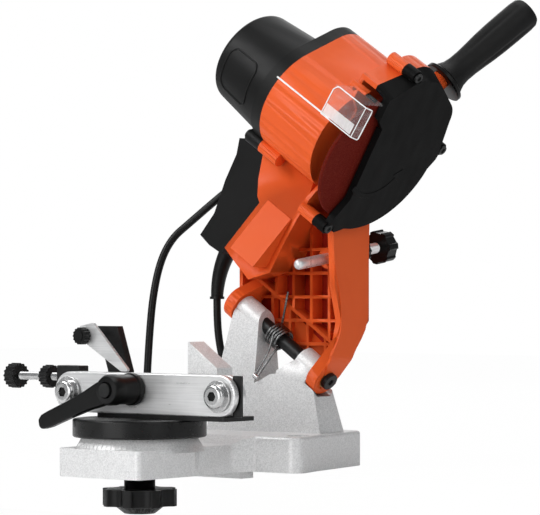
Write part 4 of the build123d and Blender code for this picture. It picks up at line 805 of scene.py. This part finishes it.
@dataclass
class Vise:
    """The swivelling table with the two chain rails, the clamp lever and the wedge block."""

    hub_start: Point = (0.0, -103.9, 61.0)
    drop: float = math.radians(21.0)
    screws: Pair = (-62.5, 78.5)
    screw_height: float = 57.8

    def table(self) -> None:
        """Dresses the disc, the bracket, the rails and what holds them."""
        for node, body, slot, finish, width, steps in (
                ("turntable_disc", "turntable", "black_gloss", Finish.DISC, 1.6, 3),
                ("vise_bracket", "turntable", "black_steel", Finish.BLACK_STEEL, 0.5, 2),
                ("rear_rail", "turntable", "steel_plate", Finish.BRUSHED, 0.6, 2),
                ("front_rail", "jaw", "steel_plate", Finish.BRUSHED, 0.7, 2),
                ("wedge_block", "turntable", "milled_aluminium", Finish.CAST, 1.8, 3),
                ("stop_block", "turntable", "black_steel", Finish.BLACK_STEEL, 0.8, 2),
                ("rail_screws", "turntable", "zinc_steel", Finish.ZINC, 0.4, 2),
                ("rail_washers", "turntable", "zinc_steel", Finish.ZINC, 0.3, 2),
                ("rail_spacers", "turntable", "zinc_steel", Finish.ZINC, 0.3, 2)):
            soft_copy(node, body, slot, finish, width, steps)

    def sockets(self) -> None:
        """Paints shade into the screws' sockets with black discs, and adds the bracket's end that shows beside the
        rails.
        """
        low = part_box("rail_screws")[0].y / MM
        for name, x in zip(("left_socket_shade", "right_socket_shade"), self.screws):
            # The black disc in each socket is painted shade in the hollow, not the screw's own colour.
            socket_shade = Piece(name, Finish.BLACK, along((x, low + 0.9, self.screw_height), (0, 1, 0)))
            socket_shade.lathe(rod_profile(3.1, 1.6), 6).finish("turntable", "black_steel")
        end = Piece("bracket_end", Finish.BLACK_STEEL)
        end.block((86.0, -97.3, 43.4), (94.5, -95.9, 72.0)).soften(0.5).finish("turntable", "black_steel")

    def lever(self) -> None:
        """Builds the clamp lever: a stepped hub, a tapered arm and its cap screw."""
        hub = Piece("clamp_lever_piece", Finish.BLACK_GLOSS, along(self.hub_start, (0, -1, 0), (1, 0, 0)))
        hub.lathe([(4.2, 0.0), (11.2, 0.0), (11.5, 0.6), (11.5, 4.0), (10.6, 5.0), (10.3, 17.5), (10.9, 19.0),
                   (10.9, 25.6), (9.4, 28.4), (6.0, 28.9), (5.6, 28.0), (5.6, 25.5), (4.2, 25.5), (4.2, 0.0)], 72)
        way = Vector((-math.cos(self.drop), -math.sin(self.drop)))
        side = Vector((-way.y, way.x))
        outline = [(9.0, 2.0), (8.4, 10.0), (7.0, 22.0), (6.2, 40.0), (5.8, 62.0), (4.6, 70.0), (2.0, 72.0),
                   (-3.2, 71.0), (-5.4, 67.0), (-5.9, 60.0), (-6.2, 40.0), (-7.2, 22.0), (-8.6, 10.0), (-9.0, 2.0)]
        corners = [tuple(way * reach + side * across) for across, reach in outline]
        arm = Piece("clamp_lever_arm", Finish.BLACK_GLOSS, hub.place)
        arm.prism(corners, 20.6, 27.4).soften(1.7, 3)
        hub.finish("lever", "black_gloss", ("clamp_lever",))
        arm.finish("lever", "black_gloss")
        soft_copy("lever_cap_screw", "lever", "black_steel", Finish.BLACK_STEEL, 0.4)

    def build(self) -> None:
        """Builds the vise."""
        self.table()
        self.sockets()
        self.lever()


@dataclass
class ChainStop:
    """The pawl that holds a chain link, with its screw, its two ribbed knobs and its carriage."""

    axis: Pair = (-81.5, 67.5)
    knob: Pair = (-142.0, -132.5)
    nut: Pair = (-107.0, -99.0)
    screw_end: float = -34.5
    knob_radius: float = 9.3
    nut_radius: float = 8.5
    ribs: int = 16

    def turned(self, name: str, start: float, end: float, radius: float, body: str,
               replaces: Sequence[str]) -> None:
        """Makes one ribbed knob.

        Args:
            name: its name.
            start: where it starts along X.
            end: where it ends.
            radius: its radius over the ribs.
            body: the body that it rides on.
            replaces: nodes that it stands for.
        """
        place = along((start, self.axis[0], self.axis[1]), (1, 0, 0))
        piece = Piece(name, Finish.BLACK_GLOSS, place)
        piece.prism(knob_outline(radius, radius - 0.9, self.ribs), 0.0, end - start).soften(0.5)
        foot, face = radius - 3.4, radius - 2.6
        piece.lathe([(0.0, -0.5), (foot, -0.5), (face, 0.3), (face, 0.8), (0.0, 0.8)], 40)
        piece.finish(body, "black_gloss", replaces)

    def build(self) -> None:
        """Builds the chain stop."""
        self.turned("stop_knob", *self.knob, self.knob_radius, "stop_feed", ())
        self.turned("stop_lock_knob", *self.nut, self.nut_radius, "stop_lock", ("stop_lock_nut",))
        screw = Piece("stop_screw_thread", Finish.ZINC, along((0, self.axis[0], self.axis[1]), (1, 0, 0)))
        screw.lathe(thread_profile(2.95, self.knob[1] - 1.0, self.screw_end, 1.0, 0.45), 28)
        screw.finish("stop_feed", "zinc_steel", ("stop_screw",), 60)
        soft_copy("stop_carriage", "carriage", "black_steel", Finish.BLACK_STEEL, 0.7)
        soft_copy("stop_pawl", "pawl", "steel_plate", Finish.BRUSHED, 0.4)
        knob = Piece("pawl_knob_piece", Finish.BLACK_GLOSS, along((-52, -98.5, 98), (0, -1, 0), (1, 0, 0)))
        knob.prism(knob_outline(6.3, 5.7, 14), 0.0, 6.0).soften(0.4)
        knob.lathe([(0.0, 5.8), (3.4, 5.8), (3.8, 6.2), (3.8, 6.5), (0.0, 6.5)], 28)
        knob.finish("pawl", "black_gloss", ("pawl_knob",))


@dataclass
class TableLock:
    """The lobed knob under the base."""

    def build(self) -> None:
        """Builds the knob."""
        soft_copy("lock_knob", "table_lock", "black_gloss", Finish.BLACK_GLOSS, 2.2, 4, 50)


@dataclass
class MotorHead:
    """The tilting head: housing, black half, motor cap, guard and handle."""

    reach: float = 160.0
    face: float = 21.0
    handle_rise: float = math.radians(49.6)
    handle_foot: Point = (126.7, 107.8, 290.6)
    slope: float = 0.34
    screws: tuple[Pair, ...] = ((-7.5, 229.1), (-20.2, 100.9), (66.0, 172.3))
    recess: Pair = (62.0, 68.5)
    recess_top: float = 190.0
    ear: Pair = (76.0, 108.0)
    ear_reach: Pair = (58.0, 48.0)
    ear_back: float = 60.5
    tuck: Pair = (1.9, 1.2)
    flange: Pair = (64.2, 66.4)
    front_edge: tuple[Pair, ...] = (
        (41.0, 186.0), (41.2, 167.0), (42.2, 152.0), (44.6, 141.5), (48.0, 131.0), (50.2, 119.0), (50.6, 108.0),
        (49.4, 100.0), (46.8, 94.0), (42.8, 88.0), (38.6, 82.5), (38.0, 76.0), (42.0, 68.0), (46.0, 63.0))
    rear_edge: tuple[Pair, ...] = (
        (85.0, 186.0), (83.8, 152.0), (83.6, 131.0), (83.4, 112.0), (79.8, 101.5), (74.8, 94.5), (68.6, 87.5),
        (64.4, 81.5), (62.0, 74.0), (60.0, 67.0), (56.0, 62.0))

    def shells(self) -> None:
        """Rounds the moulded shells, paints shade into the recess with a darker orange and tucks the housing in
        behind the flange skin.
        """
        copy = NodeCopy("housing", "housing_piece", Finish.ORANGE)
        copy.finishes.append(Finish.ORANGE_DEEP)
        # Faces that look forward inside the recess take the darker orange, which is painted shade.
        for part in copy.bm.faces:
            middle = part.calc_center_median()
            if part.normal.y < -0.9 and self.recess[0] < middle.y < self.recess[1] and middle.z < self.recess_top:
                part.material_index = 1
        for vert in copy.bm.verts:
            if vert.co.x > self.ear_reach[0] and self.ear[0] < vert.co.z < self.ear[1]:
                vert.co.x = min(vert.co.x, self.fold(vert.co.z) - self.tuck[0])
                vert.co.y = min(vert.co.y, self.heel(vert.co.z) - self.tuck[1])
            elif vert.co.x > self.ear_reach[1] and vert.co.z <= self.ear[0]:
                vert.co.y = min(vert.co.y, self.ear_back)
        copy.soften(0.45).finish("head", "orange_shell", ("housing",))
        soft_copy("arm_shell", "head", "black_shell", Finish.BLACK, 1.2, 3)
        NodeCopy("motor_cap", "motor_cap_piece", Finish.BLACK).finish("head", "black_shell", ("motor_cap",), 38)
        soft_copy("strain_relief", "head", "black_shell", Finish.SHEATH, 0.3)
        soft_copy("switch_body", "head", "black_shell", Finish.BLACK_GLOSS, 0.4)
        soft_copy("rocker_switch", "rocker", "black_gloss", Finish.BLACK_GLOSS, 0.5)
        for node in ("closing_screws", "guard_screws"):
            soft_copy(node, "head", "black_steel", Finish.BLACK_STEEL, 0.3)

    def fold(self, height: float) -> float:
        """Gives where the flange's outer face lies along X at a height: upright, then along the hinge ear."""
        return min(self.flange[1], (67.6 + 0.559 * (height - 102.8)) / 0.829)

    def heel(self, height: float) -> float:
        """Gives how far back the flange reaches at a height."""
        line = self.rear_edge
        for (y0, z0), (y1, z1) in zip(line, line[1:]):
            if z1 <= height <= z0:
                return y0 + (y1 - y0) * (z0 - height) / (z0 - z1)
        return line[0][0] if height > line[0][1] else line[-1][0]

    def flange_skin(self) -> None:
        """Lays the smooth flange that sweeps from the guard down into the right hinge ear."""
        skin = Piece("flange_skin", Finish.ORANGE, axes((0, 0, 0), (0, 1, 0), (0, 0, 1), (1, 0, 0)))
        skin.prism(list(self.front_edge) + list(reversed(self.rear_edge)), self.flange[0], self.flange[1])
        for height in (70.0, 74.0, 77.0, 79.0, 81.0, 83.0, 87.0):
            bmesh.ops.bisect_plane(skin.bm, geom=skin.bm.verts[:] + skin.bm.edges[:] + skin.bm.faces[:],
                                   dist=0.001, plane_co=(0, height, 0), plane_no=(0, 1, 0))
        for vert in skin.bm.verts:
            vert.co.z += self.fold(vert.co.y) - self.flange[1]
        skin.soften(1.3, 3, 50.0).finish("head", "orange_shell", (), 40)

    def around(self, radius: float, angle: float) -> Pair:
        """Gives a place across the spindle, by its distance from the spindle and its angle."""
        return radius * math.cos(angle), self.reach + radius * math.sin(angle)

    def cap_panel(self) -> None:
        """Raises the rounded frame moulded into the side of the motor cap."""
        low, high, start, end = math.radians(162), math.radians(215), -119.0, -88.0
        cap_end, cap_length, narrow, widening, steps = -129.0, 53.0, 36.6, 5.0, 8
        corners = [(low, start), (high, start), (high, end), (low, end)]
        points = []
        for (a0, s0), (a1, s1) in zip(corners, corners[1:] + corners[:1]):
            for i in range(1, steps):
                share = i / steps
                angle, s = a0 + (a1 - a0) * share, s0 + (s1 - s0) * share
                radius = narrow + widening * (s - cap_end) / cap_length
                points.append(head(*self.around(radius, angle), s))
        wire("cap_panel_frame", points + points[:2], 0.7, Finish.BLACK, "head")

    def cover(self) -> None:
        """Builds the wheel cover, whose rim slopes except around its screws."""
        rim, low, root, boss, blend_reach = 45.0, 8.0, 7.0, 7.0, 9.0
        copy = NodeCopy("guard_cover", "guard_cover_piece", Finish.COVER)
        back = HEAD.inverted()
        for vert in copy.bm.verts:
            p, q, s = back @ (vert.co * MM)
            far = math.hypot(p, q - self.reach)
            near_screw = min(math.hypot(p - x, q - y) for x, y in self.screws)
            if far > rim and s > low:
                blend = min(1.0, max(0.0, (near_screw - boss) / blend_reach))
                share = 1.0 - self.slope * blend * (s - root) / far
                vert.co = Vector(head(p * share, self.reach + (q - self.reach) * share, s))
        copy.soften(0.8).finish("head", "black_shell", ("guard_cover",), 40)

    def arrow(self) -> None:
        """Raises the arrow on the cover that shows which way the wheel turns."""
        inner, outer, middle, barb, count = 27.0, 31.0, 29, 4, 18
        start, end, tip = math.radians(-128), math.radians(-28), math.radians(-10)
        angles = [start + (end - start) * i / count for i in range(count + 1)]
        rim = [self.around(outer, angle) for angle in angles]
        point = [self.around(outer + barb, end), self.around(middle, tip), self.around(inner - barb, end)]
        back = [self.around(inner, angle) for angle in reversed(angles)]
        arrow = Piece("turning_arrow", Finish.COVER, HEAD)
        arrow.prism(rim + point + back, self.face - 0.6, self.face + 0.3).soften(0.15, 1)
        arrow.finish("head", "black_gloss")

    def handle(self) -> None:
        """Turns the side handle: its ring, its stud, a flared collar and a grip with shallow flutes."""
        flute_foot, flute_length, flutes, flute_depth = 16.0, 52.0, 4, 0.085
        way = Vector((0, math.cos(self.handle_rise), 0)) + Vector(UP_HEAD) * math.sin(self.handle_rise)
        place = along(self.handle_foot, tuple(way), ALONG_SPINDLE)
        grip = Piece("handle_grip_piece", Finish.GRIP, place)
        grip.lathe([(0.0, -8.0), (13.6, -8.0), (14.2, -7.0), (12.8, -4.0), (11.4, -0.6), (10.6, 5.0),
                    (10.6, 13.0), (11.2, 22.0), (11.9, 31.0), (12.4, 42.0), (12.6, 56.0), (12.6, 68.0),
                    (12.1, 73.0), (10.6, 75.4), (8.0, 76.4), (0.0, 76.6)], 96)
        grip.mend()
        for vert in grip.bm.verts:
            height = (vert.co.z - flute_foot) / flute_length
            if 0.0 < height < 1.0:
                angle = math.atan2(vert.co.y, vert.co.x)
                flute = max(0.0, math.cos(flutes * angle)) ** 6 * math.sin(math.pi * height) ** 0.35
                vert.co.x *= 1 - flute_depth * flute
                vert.co.y *= 1 - flute_depth * flute
        grip.finish("head", "black_shell", ("handle_grip",), 50)
        ring = Piece("handle_ring_piece", Finish.BLACK_GLOSS, place)
        ring.lathe([(4.2, -12.0), (15.8, -12.0), (17.0, -11.2), (17.0, -9.0), (15.8, -8.1), (4.2, -8.1),
                    (4.2, -12.0)], 72)
        ring.finish("head", "black_gloss", ("handle_ring",))
        stud = Piece("handle_stud", Finish.ZINC, place)
        stud.lathe(thread_profile(3.9, -22.0, 30.0, 1.5, 0.5), 28)
        stud.finish("head", "zinc_steel", ("handle_bolt",), 60)

    def build(self) -> None:
        """Builds the head."""
        self.shells()
        self.flange_skin()
        self.cap_panel()
        self.cover()
        self.arrow()
        self.handle()


@dataclass
class Visor:
    """The clear eye guard in front of the wheel and the slender strip that it turns on; the strip, rim and bend
    are light grey, a painted highlight.
    """

    front: float = -62.0
    low: float = 182.4
    high: float = 206.4
    thick: float = 1.6
    strip: Pair = (-53.0, 4.0)

    def build(self) -> None:
        """Builds the visor and its strip."""
        sheet = Piece("visor_piece", Finish.CLEAR, axes((0, 47, 102.8), ALONG_SPINDLE, (0, 1, 0), UP_HEAD))
        fold, end = (28.0, self.front), (31.8, self.front + 3.8)
        left, right, top_back, inside = -4.0, 20.8, -34.0, self.front + self.thick
        sheet.prism([(left, self.front), fold, end, (end[0] - 1.6, end[1] + 0.4), (27.4, inside),
                     (left, inside)], self.low, self.high)
        sheet.prism([(left, inside), (right, inside), (right, top_back), (left, top_back)],
                    self.high - self.thick, self.high)
        sheet.soften(0.3).finish("visor", "clear_plastic", ("visor",))
        # A white sheet over the lower front is a painted highlight, the glare on the clear plastic.
        painted_glare = Piece("visor_painted_glare", Finish.GLARE, sheet.place)
        painted_glare.prism([(-3.0, self.front - 0.1), (26.0, self.front - 0.1), (26.0, self.front), (-3.0, self.front)],
                    self.low + 1.0, self.low + 9.0)
        painted_glare.finish("visor", "clear_plastic")
        corner = [head(p, q, s) for p, q, s in (
            (self.front, self.low, -4), (fold[1], self.low, fold[0]), (end[1], self.low, end[0]),
            (end[1], self.high, end[0]), (fold[1], self.high, fold[0]), (self.front, self.high, -1),
            (self.front, self.high - 4, -4))]
        # The rim, the bend and the strip are light grey: painted highlight along the clear sheet's edges.
        wire("visor_rim", corner + corner[:1], 0.45, Finish.CLEAR_EDGE, "visor", (), False)
        wire("visor_bend", [corner[1], corner[4]], 0.35, Finish.CLEAR_EDGE, "visor", (), False)
        strip = Piece("visor_strip", Finish.CLEAR_EDGE, HEAD)
        strip.block((self.front, self.low, self.strip[0]), (self.front + 1.2, self.low + 1.2, self.strip[1]))
        strip.soften(0.3).finish("visor", "clear_plastic")


@dataclass
class DepthStop:
    """The screw that sets how deep the wheel cuts, with its star knob and lock nut."""

    tip: Point = (50.0, 23.0, 150.0)
    pitch: float = math.radians(8.0)
    radius: float = 4.0

    def build(self) -> None:
        """Builds the depth stop."""
        way = (0.0, math.cos(self.pitch), math.sin(self.pitch))
        place = along(self.tip, way, (1, 0, 0))
        rod = Piece("depth_stop_rod", Finish.ROD, place)
        rod.lathe([(0.0, -5.0), (1.6, -4.85), (3.0, -4.1), (3.8, -2.8), (4.0, -1.0), (4.0, 40.0), (0.0, 40.0)], 40)
        rod.lathe(thread_profile(self.radius, 40.0, 94.0, 1.25, 0.6), 40)
        rod.finish("depth_stop", "zinc_steel", ("depth_stop_screw",), 60)
        star = Piece("depth_stop_knob", Finish.BLACK_GLOSS, place)
        star.prism(knob_outline(13.0, 11.4, 7), 93.0, 104.0).soften(1.9, 3).finish("depth_stop", "black_gloss")
        nut = Piece("depth_lock_sleeve", Finish.BLACK_GLOSS, place)
        nut.prism(knob_outline(9.8, 9.0, 12), 62.3, 74.6).soften(0.7)
        nut.finish("depth_lock", "black_gloss", ("depth_stop_nut",))


# ---------------------------------------------------------------- the power cord


@dataclass
class PowerCord:
    """The mains lead: its loop behind the head, its stored coil and its plug."""

    diameter: float = 6.0
    length: float = 2.0
    exit: Point = (-68.2, 68.0, 124.0)
    store: Pair = (-106.0, 93.0)
    outer_radius: float = 40.9
    pitch: float = 6.6
    heading: float = math.radians(39.2)
    turns: float = 7.0
    inward_turns: float = 3.25
    climb_start: float = 3.0
    climb_turns: float = 0.5
    turn_points: int = 16
    route: tuple[Point, ...] = (
        (-68.2, 68, 106), (-66, 69, 86), (-61.3, 70.9, 67.1), (-48.5, 76, 53.4), (-31, 83, 48.3),
        (-13.5, 90, 53.4), (-0.7, 95.1, 67.1), (4, 97, 86), (5.5, 97.5, 108), (2, 97, 134), (-5, 96, 158),
        (-13, 94.5, 178), (-18, 93.5, 196.5), (-31.5, 92, 210), (-50, 91, 215), (-69, 86, 210.6),
        (-83.1, 79, 198), (-99.4, 71, 182.8), (-109.9, 63, 171.5), (-115.3, 55, 153.2), (-114.8, 46, 126.3),
        (-111.1, 38, 97.8), (-107.2, 31, 67.9), (-105.9, 28.4, 48.5), (-105.9, 28.2, 29.4), (-112, 35.7, 12.6))

    def store_point(self, turn: float) -> Vector:
        """Gives a point of the stored coil.

        Args:
            turn: how many turns are laid.

        Returns:
            The point, in millimetres.
        """
        inward, outward = min(turn, self.inward_turns), max(turn - self.inward_turns, 0.0)
        radius = self.outer_radius - self.pitch * (inward - outward)
        climb = min(max((turn - self.climb_start) / self.climb_turns, 0.0), 1.0)
        angle = self.heading + math.pi - math.tau * turn
        return Vector((self.store[0] + radius * math.cos(angle), self.store[1] + radius * math.sin(angle),
                       self.diameter / 2 + self.pitch * climb * climb * (3 - 2 * climb)))

    def centreline(self) -> list[Vector]:
        """Gives the cord's control points from the housing to the plug, in millimetres."""
        first = self.store_point(0.0)
        inside = (self.store_point(0.02) - first).normalized()
        points = [Vector(self.exit)] + [Vector(p) for p in self.route]
        points += [first - inside * 18, first - inside * 6]
        count = int(self.turns * self.turn_points)
        points += [self.store_point(i * self.turns / count) for i in range(count + 1)]
        return points

    def build(self) -> None:
        points = self.centreline()
        last = points[-1]
        low = Vector(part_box("plug")[0]) / MM
        high = Vector(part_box("plug")[1]) / MM
        plug_centre = (low + high) / 2
        way = Vector((plug_centre.x - last.x, plug_centre.y - last.y, 0)).normalized()
        points += [last + way * reach for reach in (12, 24, 36)]
        lead = bend("mains_lead", points, self.diameter / 2, Finish.SHEATH, rings=4)
        settle(lead, "base", ("power_cord", "cord_coil"))


# ---------------------------------------------------------------- camera, light and floor


@dataclass
class Studio:
    """The camera at the photograph's place, soft lamps and a pale bench."""

    turn: float = math.radians(39.2)
    place: Point = (1283.1, -1524.3, 131.0)
    focal: float = 2708.0
    width: int = 540
    height: int = 515
    horizon: float = 290.0
    sensor: float = 36.0
    bench_edge: float = -12.0
    floor_drop: float = -60.0
    bench_thickness: float = 40.0
    floor_thickness: float = 20.0
    floor_reach: float = 3000.0
    floor_white: float = 0.985
    aim: Point = (0.0, 0.0, 0.18)
    lamps: tuple[tuple[str, Point, Pair, float], ...] = (
        ("key", (-0.9, -1.3, 1.5), (1.1, 0.9), 21), ("fill", (1.7, -0.7, 0.8), (1.0, 1.4), 6),
        ("front", (-0.1, -1.9, 0.35), (1.2, 0.7), 10), ("top", (0.2, 0.3, 1.7), (1.3, 1.0), 9),
        ("rear", (-0.9, 1.3, 1.0), (0.9, 1.2), 6))

    def camera(self) -> None:
        """Sets the camera, which looks level past the head."""
        data = bpy.data.cameras.new("camera")
        data.sensor_width = self.sensor
        data.sensor_fit = "HORIZONTAL"
        data.lens = self.focal / self.width * self.sensor
        data.shift_y = (self.horizon - self.height / 2) / self.width
        data.clip_end = 50
        made = link("camera", data)
        made.location = Vector(self.place) * MM
        made.rotation_euler = (math.pi / 2, 0, self.turn)
        bpy.context.scene.camera = made

    def lamp(self, name: str, place: Point, size: Pair, power: float) -> None:
        """Hangs one soft box.

        Args:
            name: its name.
            place: where it hangs, in metres.
            size: its width and height, in metres.
            power: its power in watts.
        """
        data = bpy.data.lights.new(name, "AREA")
        data.shape, data.size, data.size_y, data.energy = "RECTANGLE", size[0], size[1], power
        made = link(name, data)
        made.location = place
        made.rotation_euler = (Vector(self.aim) - Vector(place)).to_track_quat("-Z", "Y").to_euler()

    def world(self) -> None:
        """Makes the surroundings, which are white to the camera and soft grey to the object."""
        world = bpy.data.worlds.new("studio")
        world.use_nodes = True
        tree = world.node_tree
        tree.nodes.clear()
        path = tree.nodes.new("ShaderNodeLightPath")
        seen = tree.nodes.new("ShaderNodeMath")
        seen.operation = "MAXIMUM"
        tree.links.new(path.outputs["Is Camera Ray"], seen.inputs[0])
        tree.links.new(path.outputs["Is Transmission Ray"], seen.inputs[1])
        soft, white = tree.nodes.new("ShaderNodeBackground"), tree.nodes.new("ShaderNodeBackground")
        soft.inputs[0].default_value = (0.86, 0.88, 0.9, 1)
        soft.inputs[1].default_value = 0.3
        white.inputs[0].default_value = (1, 1, 1, 1)
        mix = tree.nodes.new("ShaderNodeMixShader")
        out = tree.nodes.new("ShaderNodeOutputWorld")
        tree.links.new(seen.outputs[0], mix.inputs[0])
        tree.links.new(soft.outputs[0], mix.inputs[1])
        tree.links.new(white.outputs[0], mix.inputs[2])
        tree.links.new(mix.outputs[0], out.inputs[0])
        bpy.context.scene.world = world

    def floor(self) -> None:
        """Lays a pale bench under the foot and a lower floor in front of it."""
        r = Recipe("pale_floor", 0.9)
        r.shader.inputs["Base Color"].default_value = (0.9, 0.9, 0.9, 1)
        path = r.tree.nodes.new("ShaderNodeLightPath")
        seen = Signal(r, path.outputs["Is Camera Ray"]) + Signal(r, path.outputs["Is Transmission Ray"])
        light = r.tree.nodes.new("ShaderNodeEmission")
        mix = r.tree.nodes.new("ShaderNodeMixShader")
        r.tree.links.new((seen * self.floor_white).socket, mix.inputs[0])
        r.tree.links.new(r.shader.outputs[0], mix.inputs[1])
        r.tree.links.new(light.outputs[0], mix.inputs[2])
        r.tree.links.new(mix.outputs[0], r.output.inputs[0])
        speck = r.noise(300, 2)
        r.feed(Base_Color=r.mixed(speck, grey(0.9), grey(0.93)))
        reach, drop = self.floor_reach, self.floor_drop
        slabs = {"bench_top": ((-reach, self.bench_edge, -self.bench_thickness), (reach, reach, 0.0)),
                 "studio_floor": ((-reach, -reach, drop - self.floor_thickness), (reach, reach, drop))}
        for name, (low, high) in slabs.items():
            made = link(name, Piece(name, Finish.CAST).block(low, high).mesh([r.material]))

    def build(self) -> None:
        """Sets up the whole studio."""
        self.camera()
        self.world()
        self.floor()
        bpy.context.scene.view_settings.view_transform = "Standard"
        for lamp in self.lamps:
            self.lamp(*lamp)


def dress_nodes() -> None:
    """Gives every node that is carried over the finish of its record slot."""
    for name, node in NODES.items():
        for slot in node.material_slots:
            key = slot.material.name.split(".")[0] if slot.material else ""
            if key in SLOT_FINISH:
                slot.material = SLOT_FINISH[key].material
            else:
                LOG.info("%s has the material %r", name, key)


def main() -> None:
    """Builds the studio and dresses every sub-assembly."""
    logging.basicConfig(level=logging.INFO, format="%(message)s")
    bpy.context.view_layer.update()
    Studio().build()
    PowerCord().build()
    for assembly in (BaseCasting(), Vise(), ChainStop(), TableLock(), MotorHead(), Visor(), DepthStop()):
        assembly.build()
    dress_nodes()


if __name__ == "__main__":
    main()
